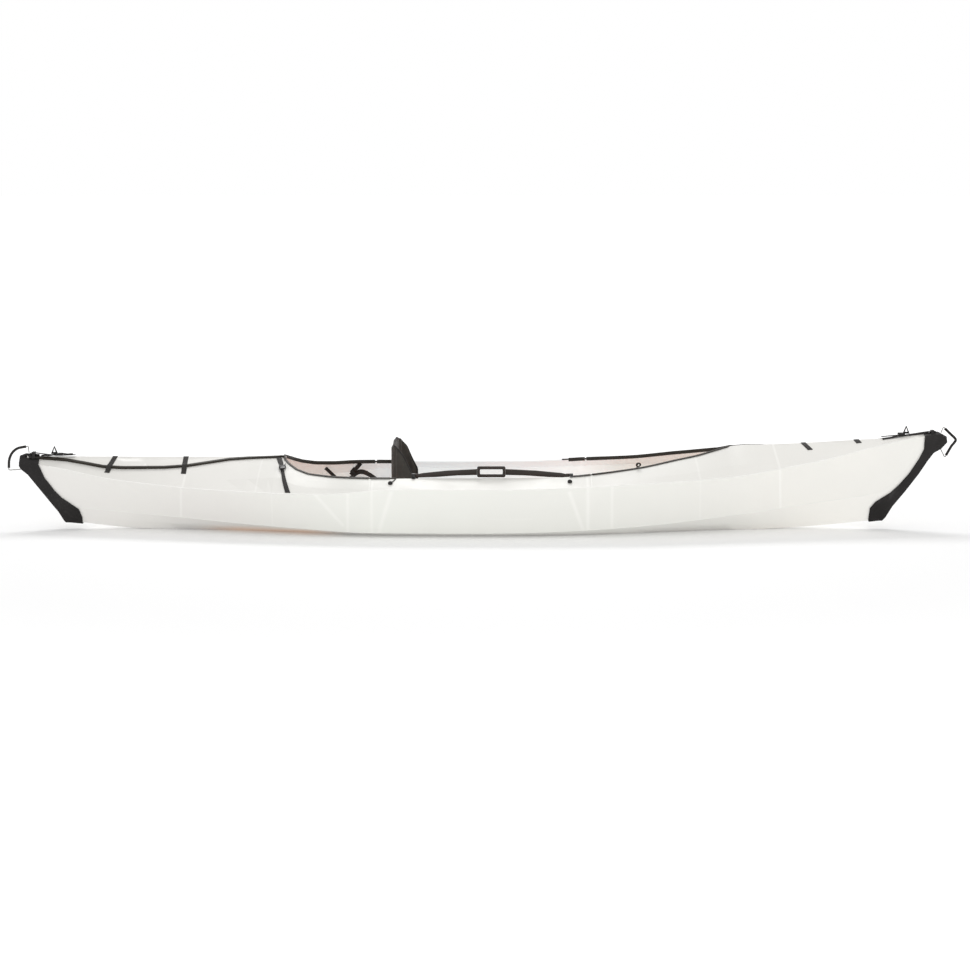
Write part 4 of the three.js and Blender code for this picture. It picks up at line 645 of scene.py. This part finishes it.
# Creases: the skin that runs on over each fold, as places on the outside of the port half
creaseSizes = {
    "radius": 0.0017,
    "dull": srgb(240, 240, 235),
    "bright": srgb(247, 246, 242),
    "cloudSize": 0.08,
    "rough": (0.36, 0.5),
    "sunk": {
        "gunwale": (0, 0.0013, 0), "chine": (0, 0.0013, 0),
        "rear_fold": (0, 0.0006, 0.0012), "fore_fold": (0, 0.0006, 0.0012),
    },
    "rear_fold": [
        (-0.4364, 0.2840, 0.2363), (-0.4364, 0.2932, 0.2321), (-0.4364, 0.3072, 0.2252), (-0.4364, 0.3151, 0.2213),
        (-0.4364, 0.3285, 0.2142), (-0.4364, 0.3400, 0.2079), (-0.4364, 0.3500, 0.2022), (-0.4364, 0.3568, 0.1982),
    ],
    "fore_fold": [
        (0.4189, 0.2755, 0.2488), (0.4189, 0.2851, 0.2446), (0.4189, 0.3050, 0.2361), (0.4189, 0.3108, 0.2336),
        (0.4189, 0.3292, 0.2256), (0.4189, 0.3348, 0.2229), (0.4189, 0.3530, 0.2147), (0.4189, 0.3573, 0.2127),
    ],
    "gunwale": [
        (-1.7180, 0.0407, 0.2546), (-1.6460, 0.0616, 0.2435), (-1.5740, 0.0840, 0.2304), (-1.5020, 0.1073, 0.2187),
        (-1.4230, 0.1335, 0.2097), (-1.3393, 0.1604, 0.2033), (-1.2556, 0.1864, 0.1976), (-1.1719, 0.2114, 0.1918),
        (-1.0882, 0.2351, 0.1886), (-1.0045, 0.2575, 0.1864), (-0.9207, 0.2785, 0.1844), (-0.8370, 0.2982, 0.1826),
        (-0.7533, 0.3158, 0.1819), (-0.6696, 0.3304, 0.1821), (-0.5859, 0.3425, 0.1839), (-0.5022, 0.3520, 0.1901),
        (-0.4199, 0.3584, 0.1999), (-0.3348, 0.3631, 0.2040), (-0.2511, 0.3661, 0.2042), (-0.1674, 0.3681, 0.2038),
        (-0.0837, 0.3691, 0.2038), (0.0, 0.3692, 0.2035), (0.0837, 0.3688, 0.2035), (0.1674, 0.3679, 0.2046),
        (0.2511, 0.3661, 0.2068), (0.3348, 0.3635, 0.2093), (0.4185, 0.3577, 0.2127), (0.5022, 0.3484, 0.2167),
        (0.5859, 0.3371, 0.2210), (0.6696, 0.3217, 0.2237), (0.7533, 0.3037, 0.2259), (0.8370, 0.2849, 0.2300),
        (0.9207, 0.2644, 0.2349), (1.0045, 0.2424, 0.2414), (1.0882, 0.2176, 0.2526), (1.1719, 0.1925, 0.2659),
        (1.2556, 0.1693, 0.2785), (1.3393, 0.1458, 0.2923), (1.4230, 0.1203, 0.3095), (1.5025, 0.0950, 0.3277),
        (1.5757, 0.0726, 0.3426), (1.6490, 0.0510, 0.3561), (1.7222, 0.0312, 0.3689),
    ],
    "chine": [
        (-1.5887, 0.0377, 0.0879), (-1.5406, 0.0483, 0.0855), (-1.4925, 0.0587, 0.0828), (-1.4230, 0.0722, 0.0784),
        (-1.3393, 0.0874, 0.0726), (-1.2556, 0.1041, 0.0672), (-1.1719, 0.1216, 0.0620), (-1.0882, 0.1392, 0.0562),
        (-1.0045, 0.1568, 0.0501), (-0.9207, 0.1730, 0.0445), (-0.8370, 0.1881, 0.0393), (-0.7533, 0.2023, 0.0342),
        (-0.6696, 0.2155, 0.0294), (-0.5859, 0.2286, 0.0245), (-0.5022, 0.2395, 0.0207), (-0.4199, 0.2454, 0.0195),
        (-0.3348, 0.2492, 0.0193), (-0.2511, 0.2519, 0.0192), (-0.1674, 0.2539, 0.0190), (-0.0837, 0.2549, 0.0189),
        (0.0, 0.2550, 0.0192), (0.0837, 0.2546, 0.0197), (0.1674, 0.2527, 0.0208), (0.2511, 0.2482, 0.0229),
        (0.3348, 0.2414, 0.0257), (0.4185, 0.2330, 0.0291), (0.5022, 0.2232, 0.0333), (0.5859, 0.2119, 0.0384),
        (0.6696, 0.1995, 0.0443), (0.7533, 0.1862, 0.0513), (0.8370, 0.1718, 0.0594), (0.9207, 0.1570, 0.0681),
        (1.0045, 0.1426, 0.0770), (1.0882, 0.1272, 0.0867), (1.1719, 0.1112, 0.0974), (1.2556, 0.0952, 0.1092),
        (1.3393, 0.0789, 0.1191), (1.4230, 0.0623, 0.1272), (1.4894, 0.0492, 0.1360), (1.5300, 0.0413, 0.1423),
    ],
}


def makeCreaseFinish():
    material, tree, shader, place = newFinish("sheetCrease")
    clouds = useGroup(tree, clouding, {"Place": place, "Size": creaseSizes["cloudSize"]})["Mask"]
    tree.links.new(mixed(tree, clouds, creaseSizes["dull"], creaseSizes["bright"]), shader.inputs["Base Color"])
    tree.links.new(mapped(tree, clouds, 0.0, 1.0, *creaseSizes["rough"]), shader.inputs["Roughness"])
    return material


creaseFinish = makeCreaseFinish()


def makeCrease(name, line, side):  # a round bead that sits in the fold
    path = [Vector((x, side * y, z)) for x, y, z in creaseSizes[line]]
    sunk = Vector(creaseSizes["sunk"][line])
    sunk.y *= side
    bead = tubeAlong(name, [place - sunk for place in path], creaseSizes["radius"], sides=3, steps=3)
    settle(bead, creaseFinish, "sheet", "hull")


for line in ("gunwale", "chine", "rear_fold", "fore_fold"):
    makeCrease(line + "_crease_port", line, 1)
    makeCrease(line + "_crease_starboard", line, -1)
print("creases made")

# Short lengths of edging, each with its radius and path: joins between the cockpit's edging and that of the deck
# seams, thinner runs at a fold or an end, and the tie from the rear stud to the rim
edgingSizes = {
    "rear_seam_end": (0.0055, [(-1.7720, -0.0088, 0.2850), (-1.7580, -0.0089, 0.2846), (-1.7420, -0.0090, 0.2838)]),
    "rear_rim_join": (0.0042, [
        (-0.7795, -0.0470, 0.2822), (-0.7845, -0.0240, 0.2885), (-0.7868, 0.0, 0.2936), (-0.7850, 0.0200, 0.2905),
        (-0.7805, 0.0385, 0.2866),
    ]),
    "rear_seam_join": (0.0042, [(-0.8040, -0.0130, 0.2915), (-0.7950, -0.0140, 0.2918), (-0.7860, -0.0180, 0.2905)]),
    "fore_seam_join": (0.0042, [
        (0.9665, -0.0070, 0.3285), (0.9760, 0.0010, 0.3302), (0.9840, 0.0080, 0.3300), (0.9930, 0.0125, 0.3292),
    ]),
    "fore_rim_join": (0.0042, [
        (0.9310, 0.0375, 0.3172), (0.9480, 0.0255, 0.3215), (0.9640, 0.0120, 0.3265), (0.9770, 0.0040, 0.3300),
    ]),
    "rim_fold_rear_port": (0.0036, [(-0.4490, 0.2788, 0.2350), (-0.4364, 0.2797, 0.2349), (-0.4240, 0.2806, 0.2348)]),
    "rim_fold_rear_starboard": (0.0022, [
        (-0.4490, -0.2802, 0.2378), (-0.4364, -0.2819, 0.2377), (-0.4240, -0.2836, 0.2376),
    ]),
    "rim_fold_fore_port": (0.0036, [(0.4065, 0.2745, 0.2464), (0.4189, 0.2710, 0.2473), (0.4315, 0.2665, 0.2482)]),
    "rim_fold_fore_starboard": (0.0022, [
        (0.4065, -0.2768, 0.2492), (0.4189, -0.2736, 0.2501), (0.4315, -0.2691, 0.2510),
    ]),
    "rim_end_rear": (0.0034, [(-0.3600, -0.2832, 0.2372), (-0.3470, -0.2831, 0.2372), (-0.3350, -0.2829, 0.2372)]),
    "rim_end_fore": (0.0030, [(0.3540, 0.2830, 0.2446), (0.3400, 0.2838, 0.2437), (0.3230, 0.2850, 0.2428)]),
    "stud_tie": (0.0021, [
        (-0.3560, -0.3210, 0.2228), (-0.3470, -0.3080, 0.2290), (-0.3390, -0.2930, 0.2345),
        (-0.3360, -0.2835, 0.2374),
    ]),
}
for name, (radius, path) in edgingSizes.items():
    edging = tubeAlong(name, [Vector(point) for point in path], radius, sides=3, steps=4)
    settle(edging, plastics["trim"], "trim", "hull")

# The eye of the rim hook
hookEye = {
    "location": (0.6045, -0.2091, 0.2812), "rotation": (math.pi / 2, 0, 0),
    "major_radius": 0.0070, "minor_radius": 0.0025, "major_segments": 28, "minor_segments": 10,
}
bpy.ops.mesh.primitive_torus_add(**hookEye)
bpy.context.object.name = "rim_hook_eye"
bpy.ops.object.shade_smooth()
settle(bpy.context.object, plastics["trim"], "trim", "hull")

# Short lengths of webbing from one place to another, with a slight wave: the loose ends of the back straps with their
# sliders, a pull tab, and the doubled runs and tails of the tension straps. Wave and round are shares of half the
# thickness.
bandShape = {"rows": 13, "halfWaves": 3, "wave": 0.3, "round": 0.7, "sharpest": 50, "smooth": 40}
bandSizes = {
    "back_strap_end": {"ends": [(-0.499, 0.2740, 0.2290), (-0.540, 0.2840, 0.1790)], "deep": 0.0016, "high": 0.017},
    "back_strap_slider": {"ends": [(-0.519, 0.279, 0.2046), (-0.535, 0.283, 0.185)], "deep": 0.0048, "high": 0.025},
    "pull_tab": {"ends": [(-0.643, 0.2700, 0.2100), (-0.604, 0.2800, 0.1710)], "deep": 0.0016, "high": 0.014},
    "stern_strap_fold": {"ends": [(-1.754, 0.0, 0.2925), (-1.690, 0.0, 0.2962)], "deep": 0.018, "high": 0.005},
    "stern_tail_fold": {"ends": [(-1.672, 0.0, 0.2992), (-1.628, 0.0, 0.2978)], "deep": 0.018, "high": 0.0055},
    "bow_strap_fold": {"ends": [(1.690, 0.0, 0.3739), (1.757, 0.0, 0.3842)], "deep": 0.018, "high": 0.005},
    "bow_tail_fold": {"ends": [(1.584, -0.0120, 0.3590), (1.655, -0.0040, 0.3735)], "deep": 0.016, "high": 0.0055},
}


def makeBand(name, facts, side):
    first, last = [Vector((x, side * y, z)) for x, y, z in facts["ends"]]
    turn = (last - first).to_track_quat("X", "Z")
    deep, high = turn @ Vector((0, facts["deep"] / 2, 0)), turn @ Vector((0, 0, facts["high"] / 2))
    thin = min(deep, high, key=lambda half: half.length)
    mesh = bmesh.new()
    rings = []
    for step in range(bandShape["rows"]):
        share = step / (bandShape["rows"] - 1)
        wave = thin * bandShape["wave"] * math.sin(bandShape["halfWaves"] * math.pi * share)
        middle = first.lerp(last, share) + wave
        corners = (deep + high, high - deep, -deep - high, deep - high)
        rings.append([mesh.verts.new(middle + corner) for corner in corners])
    for before, after in zip(rings, rings[1:]):
        for i in range(4):
            mesh.faces.new((before[i], before[i - 1], after[i - 1], after[i]))
    mesh.faces.new(rings[0])
    mesh.faces.new(rings[-1][::-1])
    bmesh.ops.recalc_face_normals(mesh, faces=mesh.faces)
    band = bpy.data.objects.new(name, bpy.data.meshes.new(name))
    mesh.to_mesh(band.data)
    mesh.free()
    bpy.context.scene.collection.objects.link(band)
    roundEdges(band, bandShape["round"] * thin.length, bandShape["sharpest"])
    bpy.ops.object.shade_smooth_by_angle(angle=math.radians(bandShape["smooth"]))
    if "slider" in name:
        settle(band, plastics["buckle"], "buckle", "hull")
    else:
        settle(band, cloths["strapSeat"], "webbing", "hull")


for name, facts in bandSizes.items():
    if name.startswith("back_strap"):
        makeBand(name + "_port", facts, 1)
        makeBand(name + "_starboard", facts, -1)
    else:
        makeBand(name, facts, 1)
print("edging, ends and tab made")

# Seat: both pads are blown up from their solids, then sewn along channels
padSizes = {
    "seat_pad": {
        "voxel": 0.006, "pressure": 3.0, "cap": 0.006, "shrink": 0.0035, "cloth": "padCloth", "topFrom": 0.012,
        "long": {"places": (-0.058, 0.058), "depth": 0.0042, "width": 0.0035},
        "cross": {"places": (-0.25, -0.15, -0.05), "reach": 0.058, "depth": 0.0032, "width": 0.003},
    },
    "seat_back": {
        "voxel": 0.0045, "pressure": 3.5, "cap": 0.005, "shrink": 0.003, "cloth": "seatCloth",
        "upright": {"shares": (-0.62, -0.31, 0.0, 0.31, 0.62), "depth": 0.0024, "width": 0.0035},
    },
}
fillSettings = {"frames": 20, "quality": 5}
seamReach = 3  # in widths of a channel


def inflate(piece, facts):
    rough = piece.modifiers.new("voxels", "REMESH")
    rough.mode, rough.voxel_size = "VOXEL", facts["voxel"]
    applyAll(piece)
    mesh = piece.data
    mesh.update()
    for vertex, normal in [(v, v.normal.copy()) for v in mesh.vertices]:
        vertex.co -= normal * facts["shrink"]
    rest = [v.co.copy() for v in mesh.vertices]
    cloth = piece.modifiers.new("cloth", "CLOTH")
    cloth.settings.quality = fillSettings["quality"]
    cloth.settings.use_pressure = True
    cloth.settings.uniform_pressure_force = facts["pressure"]
    cloth.settings.effector_weights.gravity = 0
    cloth.point_cache.frame_end = fillSettings["frames"]
    for step in range(fillSettings["frames"]):
        bpy.context.scene.frame_set(step + 1)
    applyAll(piece)
    for vertex, place in zip(piece.data.vertices, rest):
        move = vertex.co - place
        if move.length > facts["cap"]:
            vertex.co = place + move * (facts["cap"] / move.length)
    bpy.context.scene.frame_set(1)


def sewChannel(piece, distanceOf, seam):
    depth, width = seam["depth"], seam["width"]
    for vertex, normal in [(v, v.normal.copy()) for v in piece.data.vertices]:
        off = distanceOf(vertex.co)
        if abs(off) < seamReach * width:
            vertex.co -= normal * depth * math.exp(-((off / width) ** 2))


def subdivided(piece):
    finer = piece.modifiers.new("finer", "SUBSURF")
    finer.levels = finer.render_levels = 1
    applyAll(piece)
    makeActive(piece)
    bpy.ops.object.shade_smooth()


def keepWithin(piece, low, high):
    for vertex in piece.data.vertices:
        vertex.co.z = min(max(vertex.co.z, low), high)


def makeSeatPad():
    facts = padSizes["seat_pad"]
    low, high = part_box("seat_pad")
    top = low.z + facts["topFrom"]
    far = 1.0  # beyond every channel
    pad = copyOf("seat_pad", "seat_pad_cushion")
    inflate(pad, facts)
    subdivided(pad)
    seam = facts["long"]
    for y in seam["places"]:
        sewChannel(pad, lambda co, y=y: co.y - y if co.z > top else far, seam)
    seam = facts["cross"]
    for x in seam["places"]:
        sewChannel(pad, lambda co, x=x: co.x - x if abs(co.y) < seam["reach"] and co.z > top else far, seam)
    keepWithin(pad, low.z, high.z)
    settle(pad, cloths[facts["cloth"]], "seat", "hull", "seat_pad")


# The back's plan, in metres, as in its solid, and the piping round it. The edge is in shares of the wing and the top.
backSizes = {
    "rearX": -0.357, "wing": 0.098, "halfWidth": 0.198, "thickness": 0.015, "top": 0.353, "foot": 0.03805,
    "bend": 0.45, "wingFoot": 0.42, "columns": 15, "inset": 0.003, "piping": 0.0034, "finer": 4,
    "edge": [(0, 1), (0.05, 1), (0.27, 0.965), (0.4, 0.922), (0.59, 0.874), (0.8, 0.826), (0.95, 0.76), (1, 0.62)],
}


def backWidthAt(share):
    return backSizes["halfWidth"] * math.sin(share * math.pi / 2)


def backPlan(share):
    bend = max(0.0, abs(share) - backSizes["bend"]) / (1 - backSizes["bend"])
    return backSizes["rearX"] + backSizes["wing"] * bend * bend, backWidthAt(share)


def backTopAt(reach):
    rows = backSizes["edge"]
    for (first, low), (second, high) in zip(rows, rows[1:]):
        if reach <= second:
            return (low + (high - low) * (reach - first) / (second - first)) * backSizes["top"]
    return rows[-1][1] * backSizes["top"]


def makeSeatBack():
    facts = padSizes["seat_back"]
    low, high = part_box("seat_back")
    back = copyOf("seat_back", "seat_back_cushion")
    inflate(back, facts)
    subdivided(back)
    for share in facts["upright"]["shares"]:
        sewChannel(back, lambda co, y=backWidthAt(share): co.y - y, facts["upright"])
    keepWithin(back, low.z, high.z)
    settle(back, cloths[facts["cloth"]], "seat", "backrest", "seat_back")
    makeBackPiping(back)


def makeBackPiping(back):
    columns = backSizes["columns"]
    half = backSizes["thickness"] / 2

    def middle(share, height):
        x, y = backPlan(share)
        before, after = backPlan(max(-1, share - 1 / columns)), backPlan(min(1, share + 1 / columns))
        tangent = Vector((after[0] - before[0], after[1] - before[1])).normalized()
        return Vector((x + tangent.y * half, y - tangent.x * half, height))

    tops, feet = [], []
    for share in [2 * i / (columns - 1) - 1 for i in range(columns)]:
        reach = (backPlan(share)[0] - backSizes["rearX"]) / backSizes["wing"]
        foot = backSizes["foot"] + (backSizes["wingFoot"] * backSizes["top"] - backSizes["foot"]) * reach
        tops.append(middle(share, backTopAt(reach) - backSizes["inset"]))
        feet.append(middle(share, foot + backSizes["inset"]))
    corners = tops + feet[::-1]
    path = []
    for first, second in zip(corners, corners[1:] + corners[:1]):
        path += [first.lerp(second, step / backSizes["finer"]) for step in range(backSizes["finer"])]
    # Drawn onto the cushion, which draws in at its edges as it fills
    path = [back.closest_point_on_mesh(place)[1] for place in path]
    piping = tubeAlong("seat_back_piping", path, backSizes["piping"], sides=3, steps=2, closed=True)
    settle(piping, cloths["piping"], "seat", "backrest")


makeSeatPad()
makeSeatBack()
print("seat made")

# Floor, lamps and world
floorSizes = {
    "size": 160, "height": -0.0005, "base": srgb(251, 251, 251), "speck": srgb(248, 248, 248), "speckScale": 0.4,
    "rough": 0.9,
    "lift": (2.0, 6.0, 0.02, 0.4),  # the light the camera sees on it grows with the distance from the middle
}
lampSizes = {
    "keyLamp": {"place": (0.6, -7.5, 2.4), "size": 5.0, "energy": 122.0},
    "backLamp": {"place": (-0.4, 3.6, 5.6), "size": 2.6, "energy": 150.0},
}
lampAim = Vector((0, 0, 0.2))
worldLight = 0.76


def makeFloor():
    bpy.ops.mesh.primitive_plane_add(size=floorSizes["size"], location=(0, 0, floorSizes["height"]))
    floor = bpy.context.object
    floor.name = "studioFloor"
    material, tree, shader, place = newFinish("studioFloor")
    speck = addNode(tree, "ShaderNodeTexNoise", {"Scale": floorSizes["speckScale"]})
    tone = mixed(tree, speck.outputs[0], floorSizes["base"], floorSizes["speck"])
    tree.links.new(tone, shader.inputs["Base Color"])
    shader.inputs["Roughness"].default_value = floorSizes["rough"]
    shader.inputs["Specular IOR Level"].default_value = 0.0
    path = tree.nodes.new("ShaderNodeLightPath").outputs["Is Camera Ray"]
    away = addNode(tree, "ShaderNodeVectorMath", {0: place}, operation="LENGTH").outputs["Value"]
    lift = mapped(tree, away, *floorSizes["lift"])
    glow = addNode(tree, "ShaderNodeEmission", {"Color": white, "Strength": lift})
    total = addNode(tree, "ShaderNodeAddShader", {0: shader.outputs[0], 1: glow.outputs[0]})
    choice = addNode(tree, "ShaderNodeMixShader", {0: path, 1: shader.outputs[0], 2: total.outputs[0]})
    tree.links.new(choice.outputs[0], tree.nodes["Material Output"].inputs["Surface"])
    floor.data.materials.append(material)


def makeLamps():
    for name, facts in lampSizes.items():
        bpy.ops.object.light_add(type="AREA", location=facts["place"])
        lamp = bpy.context.object
        lamp.name = name
        lamp.data.energy, lamp.data.size = facts["energy"], facts["size"]
        lamp.rotation_euler = (lampAim - Vector(facts["place"])).to_track_quat("-Z", "Y").to_euler()


def makeWorld():
    world = bpy.data.worlds.new("studio")
    bpy.context.scene.world = world
    world.use_nodes = True
    tree = world.node_tree
    tree.nodes.clear()
    path = tree.nodes.new("ShaderNodeLightPath").outputs
    seen = maths(tree, "MAXIMUM", path["Is Camera Ray"], path["Is Glossy Ray"])
    seen = maths(tree, "MAXIMUM", seen, path["Is Transmission Ray"])
    strength = mapped(tree, seen, 0.0, 1.0, worldLight, 1.0)
    sky = addNode(tree, "ShaderNodeBackground", {"Color": white, "Strength": strength})
    out = tree.nodes.new("ShaderNodeOutputWorld")
    tree.links.new(sky.outputs[0], out.inputs["Surface"])


makeFloor()
makeLamps()
makeWorld()
bpy.context.scene.view_settings.view_transform = "Standard"
print("stage made")
